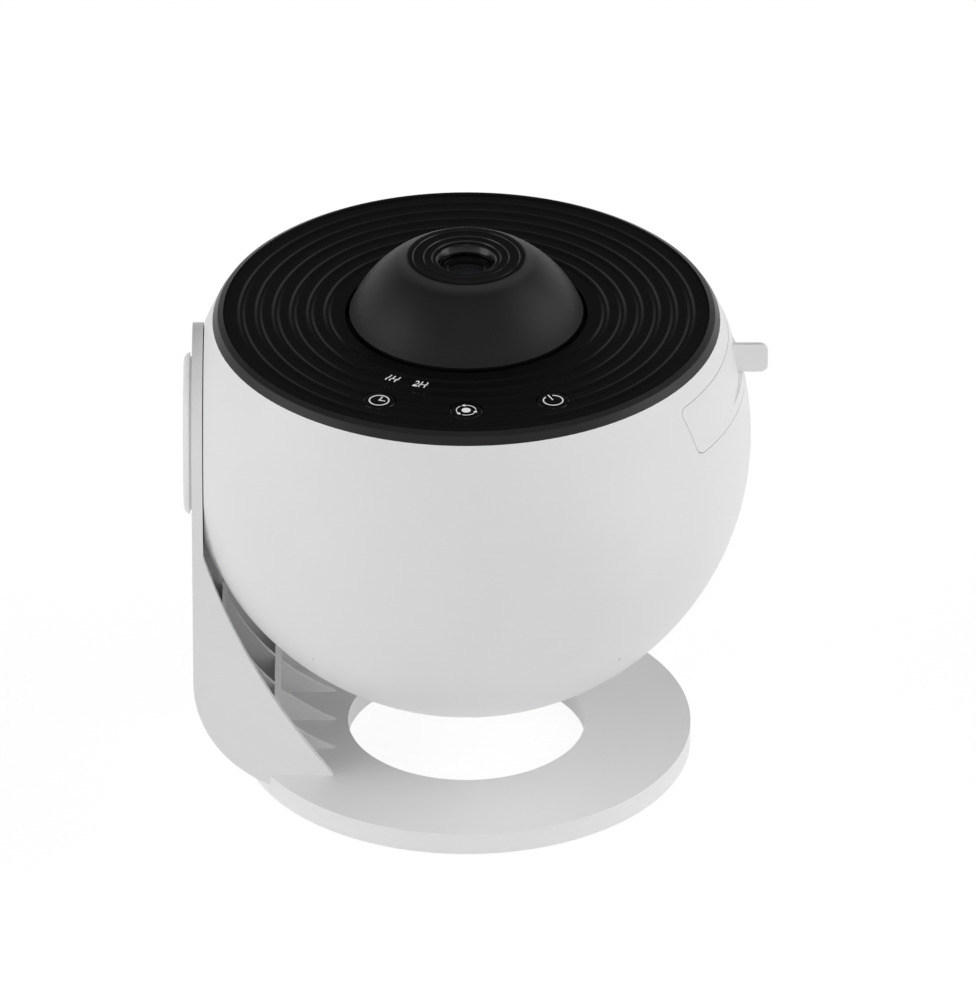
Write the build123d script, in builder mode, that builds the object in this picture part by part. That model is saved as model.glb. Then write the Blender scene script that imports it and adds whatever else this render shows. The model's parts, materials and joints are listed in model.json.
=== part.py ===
from build123d import *
from math import asin, cos, degrees, hypot, pi, radians, sin, sqrt
import os

# Planetarium projector: a ball that tilts on a side arm over a ring-shaped base.
# Millimetres, +Z up. The origin is the centre of the base ring on the table.
# Heights named *_z are measured from the ball's centre, which is the tilt pivot.

# ---------------------------------------------------------------- driving dimensions

# Clearances
running_gap = 0.05
sliding_gap = 0.10
seat_gap = 0.03
key_gap = 0.15
seam_gap = 0.25

# Stand
pivot_height = 96.0
foot_proud = 0.5
foot_thickness = 1.5
foot_inner_radius = 40.0
foot_outer_radius = 56.0
base_radius = 60.75
base_hole_radius = 32.2
base_thickness = 6.1
arm_thickness = 2.9
arm_half_width = 29.8
arm_bend_radius = 35.0
side_wall = 2.0
side_wall_top_z = -21.6
side_wall_mid_z = -54.2
side_wall_mid_inset = 12.7
side_wall_foot_drop = 0.5
web_end_inset = 35.1
rib_thickness = 1.2
rib_spacing = 15.0
rib_count = 3
rib_overlap = 4.0
rib_top_z = -37.6
rib_top_inset = 1.5
rib_mid_z = -69.8
rib_mid_inset = 11.6
cross_rib_inset = 19.4
cross_rib_thickness = 1.6
upper_rib_inset = 4.9
upper_rib_thickness = 0.8

# Tilt pivot, along X through the arm and the ball's flat
flat_cut = 6.2
arm_gap = 0.3
bolt_radius = 4.0
bolt_thread_radius = 3.0
bolt_head_radius = 7.5
bolt_head_thickness = 1.5
pivot_boss_radius = 11.0
pivot_boss_length = 5.8
washer_radius = 9.0
washer_thickness = 1.15
spring_washer_radius = 5.6
spring_washer_thickness = 1.2
spring_washer_split = 0.6
nut_flats = 10.0
nut_thickness = 4.5
bolt_end_length = 0.6
bolt_end_chamfer = 0.5
friction_disc_radius = 24.0
friction_disc_bore = 6.0
friction_recess = 0.9
hub_radius = 21.75
hub_face_radius = 19.4
hub_neck_radius = 20.6
hub_neck_length = 0.8
hub_thickness = 1.6
hub_round = (0.3, 0.72)
hub_pocket_margin = 1.0
hub_peg_radius = 1.5
hub_peg_circle = 15.0
hub_peg_length = 2.2
hub_peg_count = 3

# Ball shell
ball_radius = 76.5
shell_wall = 2.4
shell_rim_z = 35.0
rim_rebate_depth = 1.5
rim_lip_width = 1.27
flat_wall = 2.8
vent_count = 20
vent_width = 3.2
vent_inner_radius = 34.0
vent_outer_radius = 42.0
pin_hole_radius = 0.6
pin_hole_depth = 48.0
pin_hole_place = (40.7, 49.6)
post_place = 32.5
post_radius = 4.2
post_top_z = 2.0
post_head_seat = 6.0

# Bezel and top panel
bezel_top_z = 37.8
bezel_shoulder_z = 37.0
bezel_slope_width = 1.32
bezel_edge_round = 0.3
bezel_skirt_depth = 2.5
bezel_skirt_gap = 0.3
bezel_ledge_inset = 6.0
bezel_post_radius = 3.2
bezel_post_inset = 8.0
bezel_screw_depth = 10.0
bezel_post_angle = 55.0
panel_inset = 2.97
panel_top_z = 37.2
panel_thickness = 2.0
panel_well_radius = 32.5
ripple_start_radius = 37.3
ripple_pitch = 4.6
ripple_count = 6
ripple_width = 2.4
ripple_height = 0.24

# Keys
key_inset = 12.15
key_spread = 25.9
key_radius = 4.4
key_proud = 0.1
key_edge_round = 0.3
key_collar_radius = 5.6
key_collar_thickness = 0.9
key_travel = 0.4
key_board_length = 53.0
key_board_width = 13.4
key_board_thickness = 0.8
key_board_corner = 1.0
key_board_gap = 0.3
key_board_inset = 10.3
key_board_screw_spread = 24.0
key_board_screw_inset = 1.8
key_clearance = 0.2
switch_side = 5.0
switch_height = 0.5
plunger_radius = 1.2

# Chassis, deck and drawer runners
chassis_inset = 1.85
chassis_top_z = 16.0
chassis_thickness = 2.0
light_hole_radius = 26.5
chassis_boss_radius = 4.0
rail_thickness = 2.0
rail_back_inset = 4.9
rail_front_inset = 12.9
rail_lip_thickness = 1.3
rail_lip_reach = 1.7
runner_width = 3.6
deck_thickness = 2.0
deck_bottom_z = 29.0
deck_half_width = 45.5
deck_tongue_width = 32.0
deck_tongue_inset = 7.4
deck_screw_depth = 9.0
deck_screw_place = (30.0, 42.5)
deck_boss_radius = 3.0
deck_light_radius = 12.0
post_screw_depth = 7.0

# Drawer
drawer_bottom_z = 16.5
drawer_top_z = 30.5
drawer_half_width = 41.6
drawer_corner_radius = 2.5
tray_floor_z = 17.0
tray_floor_thickness = 2.0
tray_half_width = 38.0
tray_side_gap = 0.3
tray_arm_width = 3.2
tray_arm_top_z = 25.0
tray_back_x = -33.5
tray_arm_back_x = -57.0
tray_front_inset = 11.9
tray_front_wall = 2.0
tray_lug_length = 8.0
tray_lug_thickness = 1.2
tray_lug_reach = 0.4
tray_lug_gap = 0.2
tray_lug_inset = 1.0
scoop_half_width = 19.0
scoop_levels = ((19.3, 1.1), (27.7, 0.3))
scoop_end_depth = 0.12
scoop_overrun = 3.0
fin_thickness = 1.6
fin_half_height = 4.2
fin_mid_z = 23.5
fin_reach = 4.4
fin_corner_radius = 2.2
fin_edge_round = 0.35
fin_root_depth = 1.2
front_screw_y = 27.0
front_screw_z = 21.0
front_boss_radius = 3.0
front_hole_depth = 2.4

# Disc drive
gear_module = 1.0
carrier_teeth = 66
pinion_teeth = 12
backlash = 0.16
gear_bottom_z = 19.6
gear_face = 3.0
gear_addendum = 0.95
gear_dedendum = 1.25
carrier_top_z = 23.0
carrier_skirt_radius = 30.8
carrier_skirt_wall = 1.8
carrier_skirt_depth = 1.7
film_radius = 30.0
film_thickness = 0.4
film_ledge_radius = 27.4
film_ledge_z = 20.2
clip_inner_radius = 28.0
clip_thickness = 1.2
motor_radius = 8.5
motor_length = 15.0
motor_shaft_radius = 1.0
motor_nose_radius = 2.8
motor_nose_length = 2.6
motor_ear_spread = 12.2
motor_ear_thickness = 1.0
motor_ear_width = 7.0
motor_bore_depth = 8.0
motor_screw_length = 2.9
shaft_overrun = 0.4
pinion_lift = 0.2

# Lens guide, barrel and focus dome
guide_flange_radius = 23.0
guide_flange_thickness = 2.0
guide_screw_circle = 20.0
guide_screw_angle = 30.0
slot_end_gap = 0.3
guide_bore_radius = 12.65
guide_wall = 1.95
guide_top_z = 51.2
snap_ring_z = 49.6
snap_ring_thickness = 0.8
snap_ring_radius = 15.6
snap_ring_gap = 5.0
snap_groove_depth = 0.6
dome_radius = 31.35
dome_widest_z = 37.8
dome_lower_radius = 30.85
dome_lower_z = 36.7
dome_mid = (25.3, 47.4)
dome_shoulder_radius = 16.1
dome_top_z = 54.4
dome_wall = 2.2
dome_bore_radius = 15.8
sleeve_radius = 17.2
sleeve_bottom_z = 33.1
focus_turn = 60.0
focus_lead = 3.0
cam_pin_radius = 1.0
cam_pin_length = 4.6
cam_pin_z = 45.0
cam_pin_count = 3
cam_overrun = 6.0
cam_slot_gap = 0.08
cam_pin_recess = 0.4
pin_bore_length = 4.0
insert_steps = ((14.2, 0.1), (11.3, 0.2), (9.1, 0.3))
insert_cone_radius = 7.9
insert_cone_depth = 1.9
insert_hole_radius = 6.9
insert_floor = 2.4
insert_rim_width = 1.1
insert_depth = 3.6
barrel_bottom_z = 34.6
barrel_top_z = 51.0
lens_seat_radius = 10.95
lens_clear_radius = 9.7
front_lens_edge_z = 48.0
front_lens_edge = 1.6
front_lens_bulge = 1.5
front_lens_belly = 1.05
rear_lens_edge_z = 36.0
rear_lens_edge = 1.4
rear_lens_bulge = 1.7
rear_lens_belly = 1.02
clamp_thickness = 1.2

# Lamp
lamp_tube_radius = 27.5
lamp_bore_radius = 25.6
lamp_lower_bore_radius = 24.4
lamp_bottom_z = -16.0
lamp_ear_circle = 31.5
lamp_ear_radius = 3.5
lamp_ear_thickness = 2.0
condenser_edge_z = 3.0
condenser_edge = 2.0
condenser_bulge = 7.4
condenser_rim = 1.0
led_board_radius = 24.2
led_board_thickness = 1.6
led_side = 10.0
led_height = 1.2
led_dome_radius = 3.5
sink_radius = 27.0
sink_base = 4.0
sink_fin_length = 20.0
sink_fin_thickness = 1.4
sink_fin_count = 7
sink_fin_pitch = 5.6
sink_fin_circle = 21.5
sink_screw_circle = 26.0
sink_screw_angle = 60.0
sink_hole_depth = 5.0

# Boards, cell and socket
main_board_size = (44.0, 20.0, 1.6)
main_board_corner = 1.5
main_board_inset = 15.6
board_hole_inset = 3.0
main_board_z = 6.0
chip_place = (-8.0, 0.0)
chip_side = 7.0
plug_place = (6.0, 4.0)
plug_size = (8.0, 4.0)
chip_height = 1.2
capacitor_place = (6.0, -4.0)
capacitor_radius = 3.0
capacitor_height = 5.0
spacer_radius = 2.6
board_screw_grip = 1.5
cell_radius = 9.1
cell_length = 50.0
cell_y = -47.5
cell_z = -6.0
cradle_wall = 1.6
cell_edge_round = 0.6
cell_gap = 0.3
cell_end_gap = 0.5
cradle_window_inset = 4.0
cradle_window_gap = 1.0
usb_board_size = (26.0, 1.2, 11.0)
usb_board_inset = 7.5
usb_size = (9.0, 7.3, 3.2)
usb_wall = 0.35
usb_tongue = (6.6, 0.7)
usb_depth = 6.3
usb_boss_length = 4.7
usb_boss_radius = 2.4
usb_slot = (10.0, 4.2)
usb_boss_x = 9.5
usb_board_corner = 1.0
round_end_gap = 0.05

# Screws
screw_radius = 1.45
screw_head_radius = 2.6
screw_head_height = 1.6
small_screw_radius = 0.95
small_head_radius = 1.8
small_head_height = 1.1
screw_clear = 0.15
screw_length = 10.0
small_screw_length = 4.0
screw_slot_width = 0.5

# ---------------------------------------------------------------- derived places

ball_center = (0, 0, pivot_height)
ball_section = Plane(origin=ball_center, x_dir=(1, 0, 0), z_dir=(0, -1, 0))
ball_side = Plane(origin=ball_center, x_dir=(0, 1, 0), z_dir=(1, 0, 0))
pivot_axis = Axis(ball_center, (1, 0, 0))

flat_x = flat_cut - ball_radius
arm_inner_x = flat_x - arm_gap
arm_outer_x = arm_inner_x - arm_thickness
side_wall_mid = (arm_inner_x + side_wall_mid_inset, side_wall_mid_z)
web_end_x = arm_inner_x + web_end_inset
rib_top = (arm_inner_x + rib_top_inset, rib_top_z)
rib_mid = (arm_inner_x + rib_mid_inset, rib_mid_z)
cross_rib_x = arm_inner_x + cross_rib_inset
upper_rib_x = arm_inner_x + upper_rib_inset
base_bottom_z = foot_proud - pivot_height
base_top_z = base_bottom_z + base_thickness
bend_x = arm_outer_x + arm_bend_radius
bend_z = base_bottom_z + arm_bend_radius
bend_inner_radius = arm_bend_radius - arm_thickness

inner_radius = ball_radius - shell_wall
rim_radius = sqrt(ball_radius**2 - shell_rim_z**2)
rim_lip_radius = rim_radius - rim_lip_width
flat_inner_x = flat_x + flat_wall
boss_end_x = flat_x + pivot_boss_length
panel_radius = rim_radius - panel_inset
panel_bottom_z = panel_top_z - panel_thickness
bezel_shoulder_radius = rim_radius - bezel_slope_width
bezel_ledge_radius = rim_radius - bezel_ledge_inset
bezel_post_circle = rim_radius - bezel_post_inset
key_circle = panel_radius - key_inset
key_board_near_y = key_board_inset - key_circle
key_board_screw_y = key_board_near_y - key_board_screw_inset
key_top_gap_z = panel_bottom_z - key_clearance
chassis_radius = rim_lip_radius - chassis_inset
chassis_bottom_z = chassis_top_z - chassis_thickness
deck_top_z = deck_bottom_z + deck_thickness
deck_tongue_end_y = deck_tongue_inset - key_circle
rail_back_x = rail_back_inset - chassis_radius
rail_front_x = chassis_radius - rail_front_inset
tray_front_x = ball_radius - tray_front_inset
fin_end_x = ball_radius + fin_reach
rail_inner_y = tray_half_width + tray_side_gap
rail_outer_y = rail_inner_y + rail_thickness
tray_top_z = tray_floor_z + tray_floor_thickness
pitch_radius = gear_module * carrier_teeth / 2
pinion_pitch_radius = gear_module * pinion_teeth / 2
pinion_x = -(pitch_radius + pinion_pitch_radius)
motor_top_z = chassis_bottom_z - motor_ear_thickness
key_board_z = deck_top_z + key_board_gap
board_top_z = key_board_z + key_board_thickness
plunger_top_z = key_top_gap_z - key_collar_thickness - key_travel - running_gap
guide_radius = guide_bore_radius + guide_wall
barrel_radius = guide_bore_radius - running_gap
sleeve_bore_radius = guide_radius + running_gap
pressure_angle = 20.0
usb_board_y = inner_radius - usb_board_inset
main_board_y = usb_board_y - main_board_inset
board_hole_spread = main_board_size[0] - 2 * board_hole_inset


def level(height):
    """The horizontal plane at this height from the ball's centre."""
    return Plane.XY.offset(pivot_height + height)


def arc_middle(start, end, center):
    """The point halfway along the shorter arc from start to end about center."""
    middle = Vector(*start) + Vector(*end) - Vector(*center) * 2
    radius = (Vector(*start) - Vector(*center)).length
    return Vector(*center) + middle.normalized() * radius


def involute(base, radius):
    """The polar angle, in degrees, at which an involute of this base circle meets radius."""
    roll = sqrt((radius / base) ** 2 - 1)
    return degrees(roll) - degrees(asin(roll / hypot(1, roll)))


def gear_outline(teeth, turn):
    """A spur gear's face, with one tooth centred at the angle turn."""
    pitch = gear_module * teeth / 2
    base = pitch * cos(radians(pressure_angle))
    root, tip = pitch - gear_dedendum * gear_module, pitch + gear_addendum * gear_module
    start = max(base, root) + 0.01
    half_tooth = 90 / teeth - degrees(backlash / 4 / pitch) + involute(base, pitch)
    with BuildSketch() as outline:
        Circle(root)
        with PolarLocations(0, teeth, start_angle=turn):
            with BuildSketch(mode=Mode.PRIVATE) as tooth:
                with BuildLine():
                    flank = []
                    for radius in (start, (start + tip) / 2, tip):
                        angle = radians(half_tooth - involute(base, radius))
                        flank.append((radius * cos(angle), radius * sin(angle)))
                    mirrored = [(x, -y) for x, y in reversed(flank)]
                    foot = (root - 0.3, flank[0][1])
                    Line(foot, flank[0])
                    ThreePointArc(*flank)
                    ThreePointArc(flank[2], (tip, 0), mirrored[0])
                    ThreePointArc(*mirrored)
                    Line(mirrored[2], (foot[0], -foot[1]))
                    Line((foot[0], -foot[1]), foot)
                make_face()
            add(tooth.sketch)
    return outline.sketch


def screw_solid(shank, shank_length, head, head_height):
    """A pan-head screw that points down -Z, its head's underside at the origin."""
    with BuildPart() as screw:
        with Locations((0, 0, -shank_length / 2)):
            Cylinder(shank, shank_length)
        with Locations((0, 0, head_height / 2)):
            Cylinder(head, head_height)
        fillet(screw.faces().sort_by(Axis.Z)[-1].edges(), head_height * 0.4)
        with Locations((0, 0, head_height)):
            for turn in (0, 90):
                Box(head * 1.1, screw_slot_width, head_height, rotation=(0, 0, turn), mode=Mode.SUBTRACT)
    return screw.part


screw = screw_solid(screw_radius, screw_length, screw_head_radius, screw_head_height)
small_screw = screw_solid(small_screw_radius, small_screw_length, small_head_radius, small_head_height)


def cap_arc(clear_radius, edge_z, bulge):
    """The three points of a lens cap's half arc, from its crown on the axis to its edge."""
    sphere_radius = (clear_radius**2 + bulge**2) / (2 * abs(bulge))
    half_angle = asin(clear_radius / sphere_radius) / 2
    fall = sphere_radius * (1 - cos(half_angle))
    middle_z = edge_z + bulge - (fall if bulge > 0 else -fall)
    return (0, edge_z + bulge), (sphere_radius * sin(half_angle), middle_z), (clear_radius, edge_z)


def lens_face(edge_z, edge, clear_radius, outer_radius, bulge_up, bulge_down):
    """Half of a lens section, in the ball's section plane."""
    with BuildSketch() as half:
        with BuildLine():
            top = edge_z + edge
            crown = ThreePointArc(*cap_arc(clear_radius, top, bulge_up))
            Polyline(crown @ 1, (outer_radius, top), (outer_radius, edge_z), (clear_radius, edge_z))
            if bulge_down > 0:
                belly = ThreePointArc(*cap_arc(clear_radius, edge_z, -bulge_down))
                Line(belly @ 0, crown @ 0)
            else:
                Polyline((clear_radius, edge_z), (0, edge_z), crown @ 0)
        make_face()
    return half.sketch


# ---------------------------------------------------------------- stand

# Full-width block under the ribs' lower edge; the lattice below cuts it into ribs.
with BuildPart() as rib_block:
    with BuildSketch(ball_section):
        with BuildLine():
            block_top_z = rib_top_z + rib_overlap
            bend_start = (arm_outer_x, bend_z)
            bend_end = (bend_x, base_bottom_z)
            Polyline((arm_outer_x, block_top_z), bend_start)
            ThreePointArc(bend_start, arc_middle(bend_start, bend_end, (bend_x, bend_z)), bend_end)
            Polyline(bend_end, (web_end_x, base_bottom_z), (web_end_x, base_top_z))
            ThreePointArc((web_end_x, base_top_z), rib_mid, rib_top)
            Polyline(rib_top, (arm_inner_x, block_top_z), (arm_outer_x, block_top_z))
        make_face()
    extrude(amount=arm_half_width - side_wall, both=True)

with BuildPart() as rib_lattice:
    with BuildSketch(Plane.XY.offset(foot_proud)):
        with GridLocations(0, rib_spacing, 1, rib_count):
            Rectangle(3 * base_radius, rib_thickness)
        for rib_x, thickness in ((cross_rib_x, cross_rib_thickness), (upper_rib_x, upper_rib_thickness)):
            with Locations((rib_x, 0)):
                Rectangle(thickness, 2 * arm_half_width)
    extrude(amount=pivot_height)
    add(rib_block.part, mode=Mode.INTERSECT)

with BuildPart() as stand_bracket:
    with BuildSketch(Plane.XY.offset(foot_proud)):
        Circle(base_radius)
    extrude(amount=base_thickness)
    # Bent skin, from the base up the arm
    with BuildSketch(ball_section):
        with BuildLine():
            inner_end = (bend_x, base_bottom_z + arm_thickness)
            inner_start = (arm_inner_x, bend_z)
            Polyline((arm_outer_x, 0), bend_start)
            ThreePointArc(bend_start, arc_middle(bend_start, bend_end, (bend_x, bend_z)), bend_end)
            Line(bend_end, inner_end)
            ThreePointArc(inner_end, arc_middle(inner_end, inner_start, (bend_x, bend_z)), inner_start)
            Polyline(inner_start, (arm_inner_x, 0), (arm_outer_x, 0))
        make_face()
    extrude(amount=arm_half_width, both=True)
    with BuildSketch(ball_side.offset(arm_outer_x)):
        Circle(arm_half_width)
    extrude(amount=arm_thickness)
    # Two side walls with a long hollow front edge
    for side in (-1, 1):
        with BuildSketch(ball_section.offset(side * (arm_half_width - side_wall / 2))):
            with BuildLine():
                wall_top = (arm_inner_x, side_wall_top_z)
                wall_end = (web_end_x, base_top_z - side_wall_foot_drop)
                Polyline(wall_top, (arm_outer_x, side_wall_top_z), bend_start)
                ThreePointArc(bend_start, arc_middle(bend_start, bend_end, (bend_x, bend_z)), bend_end)
                Polyline(bend_end, (web_end_x, base_bottom_z), wall_end)
                ThreePointArc(wall_end, side_wall_mid, wall_top)
            make_face()
        extrude(amount=side_wall / 2, both=True)
    add(rib_lattice.part)
    # The hole through the base and the groove for the foot pad
    with Locations((0, 0, foot_proud + base_thickness)):
        Hole(base_hole_radius)
    with BuildSketch(Plane.XY.offset(foot_proud)):
        Circle(foot_outer_radius + seat_gap)
        Circle(foot_inner_radius - seat_gap, mode=Mode.SUBTRACT)
    extrude(amount=foot_thickness - foot_proud, mode=Mode.SUBTRACT)
    # Bolt hole and the blind holes for the hub cap's pegs
    with BuildSketch(ball_side.offset(arm_outer_x)):
        Circle(bolt_radius + seat_gap)
    extrude(amount=arm_thickness, mode=Mode.SUBTRACT)
    with BuildSketch(ball_side.offset(arm_outer_x)):
        with PolarLocations(hub_peg_circle, hub_peg_count, start_angle=90):
            Circle(hub_peg_radius + seat_gap)
    extrude(amount=hub_peg_length + seat_gap, mode=Mode.SUBTRACT)
stand_bracket.part.label = "stand_bracket"

with BuildPart() as foot_pad:
    with BuildSketch():
        Circle(foot_outer_radius)
        Circle(foot_inner_radius, mode=Mode.SUBTRACT)
    extrude(amount=foot_thickness)
foot_pad.part.label = "foot_pad"

with BuildPart() as hub_cap:
    neck_x = arm_outer_x - hub_neck_length
    face_x = neck_x - hub_thickness
    head_room_x = arm_outer_x - bolt_head_thickness - sliding_gap
    hub_mid_x = face_x + hub_thickness * hub_round[0]
    hub_mid_radius = hub_face_radius + (hub_radius - hub_face_radius) * hub_round[1]
    pocket_radius = bolt_head_radius + hub_pocket_margin
    with BuildSketch(ball_section):
        with BuildLine():
            Polyline(
                (arm_outer_x, pocket_radius),
                (arm_outer_x, hub_neck_radius),
                (neck_x, hub_neck_radius),
                (neck_x, hub_radius),
            )
            ThreePointArc(
                (neck_x, hub_radius),
                (hub_mid_x, hub_mid_radius),
                (face_x, hub_face_radius),
            )
            Polyline(
                (face_x, hub_face_radius),
                (face_x, 0),
                (head_room_x, 0),
                (head_room_x, pocket_radius),
                (arm_outer_x, pocket_radius),
            )
        make_face()
    revolve(axis=pivot_axis)
    with BuildSketch(ball_side.offset(arm_outer_x)):
        with PolarLocations(hub_peg_circle, hub_peg_count, start_angle=90):
            Circle(hub_peg_radius)
    extrude(amount=hub_peg_length)
hub_cap.part.label = "hub_cap"

washer_x = boss_end_x + running_gap
shoulder_x = washer_x + washer_thickness
nut_x = shoulder_x + spring_washer_thickness
bolt_end_x = nut_x + nut_thickness + bolt_end_length

with BuildPart() as pivot_bolt:
    with BuildSketch(ball_section):
        with BuildLine():
            head_x = arm_outer_x - bolt_head_thickness
            Polyline(
                (head_x, 0),
                (head_x, bolt_head_radius),
                (arm_outer_x, bolt_head_radius),
                (arm_outer_x, bolt_radius),
                (shoulder_x, bolt_radius),
                (shoulder_x, bolt_thread_radius),
                (bolt_end_x, bolt_thread_radius),
                (bolt_end_x, 0),
                close=True,
            )
        make_face()
    revolve(axis=pivot_axis)
    chamfer(pivot_bolt.faces().sort_by(Axis.X)[-1].edges(), bolt_end_chamfer)
pivot_bolt.part.label = "pivot_bolt"

with BuildPart() as pivot_washer:
    with BuildSketch(ball_side.offset(washer_x)):
        Circle(washer_radius)
        Circle(bolt_radius + seat_gap, mode=Mode.SUBTRACT)
    extrude(amount=washer_thickness)
pivot_washer.part.label = "pivot_washer"

with BuildPart() as spring_washer:
    with BuildSketch(ball_side.offset(shoulder_x)):
        Circle(spring_washer_radius)
        Circle(bolt_thread_radius + seat_gap, mode=Mode.SUBTRACT)
        with Locations((0, spring_washer_radius)):
            Rectangle(spring_washer_split, 2 * spring_washer_radius, mode=Mode.SUBTRACT)
    extrude(amount=spring_washer_thickness)
spring_washer.part.label = "spring_washer"

with BuildPart() as pivot_nut:
    with BuildSketch(ball_side.offset(nut_x)):
        RegularPolygon(nut_flats / 2, 6, major_radius=False)
        Circle(bolt_thread_radius + seat_gap, mode=Mode.SUBTRACT)
    extrude(amount=nut_thickness)
pivot_nut.part.label = "pivot_nut"

with BuildPart() as friction_disc:
    with BuildSketch(ball_side.offset(arm_inner_x + running_gap)):
        Circle(friction_disc_radius)
        Circle(friction_disc_bore, mode=Mode.SUBTRACT)
    extrude(amount=arm_gap - running_gap + friction_recess)
friction_disc.part.label = "friction_disc"

# ---------------------------------------------------------------- ball shell

# The hollow of the ball, flat on the arm's side and open above the rim
with BuildPart() as ball_hollow:
    with Locations(ball_center):
        Sphere(inner_radius)
    split(bisect_by=Plane.YZ.offset(flat_inner_x), keep=Keep.TOP)

with BuildPart() as post_blanks:
    with BuildSketch(level(-ball_radius)):
        with GridLocations(2 * post_place, 2 * post_place, 2, 2):
            Circle(post_radius)
    extrude(amount=ball_radius + post_top_z)
    with Locations(ball_center):
        Sphere(ball_radius - shell_wall / 2, mode=Mode.INTERSECT)

with BuildPart() as body_shell:
    with Locations(ball_center):
        Sphere(ball_radius)
    split(bisect_by=Plane.YZ.offset(flat_x), keep=Keep.TOP)
    add(ball_hollow.part, mode=Mode.SUBTRACT)
    split(bisect_by=level(shell_rim_z), keep=Keep.BOTTOM)
    # Rebate inside the rim, which the bezel drops into
    with BuildSketch(level(shell_rim_z)):
        Circle(rim_lip_radius)
    extrude(amount=-rim_rebate_depth, mode=Mode.SUBTRACT)
    # Pivot boss behind the flat, with its bore and the recess for the friction disc
    with BuildSketch(ball_side.offset(flat_inner_x)):
        Circle(pivot_boss_radius)
    extrude(amount=boss_end_x - flat_inner_x)
    with BuildSketch(ball_side.offset(flat_x)):
        Circle(bolt_radius + running_gap)
    extrude(amount=pivot_boss_length, mode=Mode.SUBTRACT)
    with BuildSketch(ball_side.offset(flat_x)):
        Circle(friction_disc_radius + sliding_gap)
    extrude(amount=friction_recess, mode=Mode.SUBTRACT)
    # Four hollow posts that take the long screws from underneath
    add(post_blanks.part)
    with BuildSketch(level(post_top_z)):
        with GridLocations(2 * post_place, 2 * post_place, 2, 2):
            Circle(screw_radius + screw_clear)
    extrude(amount=-post_head_seat, mode=Mode.SUBTRACT)
    with BuildSketch(level(post_top_z - post_head_seat)):
        with GridLocations(2 * post_place, 2 * post_place, 2, 2):
            Circle(screw_head_radius + screw_clear)
    extrude(amount=-ball_radius, mode=Mode.SUBTRACT)
    # Ring of cooling slots in the bottom
    with BuildSketch(level(-ball_radius)):
        with PolarLocations((vent_inner_radius + vent_outer_radius) / 2, vent_count, start_angle=-90):
            SlotOverall(vent_outer_radius - vent_inner_radius, vent_width)
    extrude(amount=ball_radius / 2, mode=Mode.SUBTRACT)
    # Pin holes low on both sides
    with BuildSketch(level(-ball_radius)):
        with GridLocations(2 * pin_hole_place[0], 2 * pin_hole_place[1], 2, 2):
            Circle(pin_hole_radius)
    extrude(amount=pin_hole_depth, mode=Mode.SUBTRACT)
    # Opening for the drawer
    with BuildSketch(ball_side):
        with Locations((0, (drawer_bottom_z + drawer_top_z) / 2)):
            RectangleRounded(2 * drawer_half_width, drawer_top_z - drawer_bottom_z, drawer_corner_radius)
    extrude(amount=ball_radius, mode=Mode.SUBTRACT)
    # Bosses and slot for the charging socket at the back
    usb_front_y = usb_board_y + usb_board_size[1]
    with BuildSketch(ball_section.offset(-usb_front_y)):
        with GridLocations(2 * usb_boss_x, 0, 2, 1):
            Circle(usb_boss_radius)
    extrude(amount=-(inner_radius - usb_front_y))
    with BuildSketch(ball_section.offset(-usb_front_y)):
        RectangleRounded(*usb_slot, usb_slot[1] / 2 - round_end_gap)
        with GridLocations(2 * usb_boss_x, 0, 2, 1):
            Circle(small_screw_radius)
    extrude(amount=-usb_boss_length, mode=Mode.SUBTRACT)
    with BuildSketch(ball_section.offset(-usb_front_y)):
        RectangleRounded(*usb_slot, usb_slot[1] / 2 - round_end_gap)
    extrude(amount=-ball_radius, mode=Mode.SUBTRACT)
body_shell.part.label = "body_shell"

# ---------------------------------------------------------------- bezel and panel

with BuildPart() as bezel_ring:
    skirt_radius = sqrt(inner_radius**2 - shell_rim_z**2) - bezel_skirt_gap
    spigot_radius = rim_lip_radius - sliding_gap
    spigot_z = shell_rim_z - rim_rebate_depth
    with BuildSketch(ball_section):
        with BuildLine():
            Polyline(
                (rim_radius, shell_rim_z),
                (bezel_shoulder_radius, bezel_shoulder_z),
                (panel_radius + sliding_gap, bezel_top_z),
                (panel_radius + sliding_gap, panel_bottom_z),
                (bezel_ledge_radius, panel_bottom_z),
                (bezel_ledge_radius, spigot_z - bezel_skirt_depth),
                (skirt_radius, spigot_z - bezel_skirt_depth),
                (skirt_radius, spigot_z),
                (spigot_radius, spigot_z),
                (spigot_radius, shell_rim_z),
                close=True,
            )
        make_face()
    revolve(axis=Axis.Z)
    rim_circles = bezel_ring.edges().filter_by(GeomType.CIRCLE)
    shoulder = rim_circles.filter_by(lambda edge: abs(edge.radius - bezel_shoulder_radius) < seat_gap)
    fillet(shoulder, bezel_edge_round)
    with BuildSketch(level(chassis_top_z)):
        for turn in (bezel_post_angle, 180 - bezel_post_angle):
            with PolarLocations(bezel_post_circle, 2, start_angle=turn):
                Circle(bezel_post_radius)
    extrude(amount=panel_bottom_z - chassis_top_z)
    with BuildSketch(level(chassis_top_z)):
        for turn in (bezel_post_angle, 180 - bezel_post_angle):
            with PolarLocations(bezel_post_circle, 2, start_angle=turn):
                Circle(screw_radius + seat_gap)
    extrude(amount=bezel_screw_depth, mode=Mode.SUBTRACT)
bezel_ring.part.label = "bezel_ring"

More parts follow.
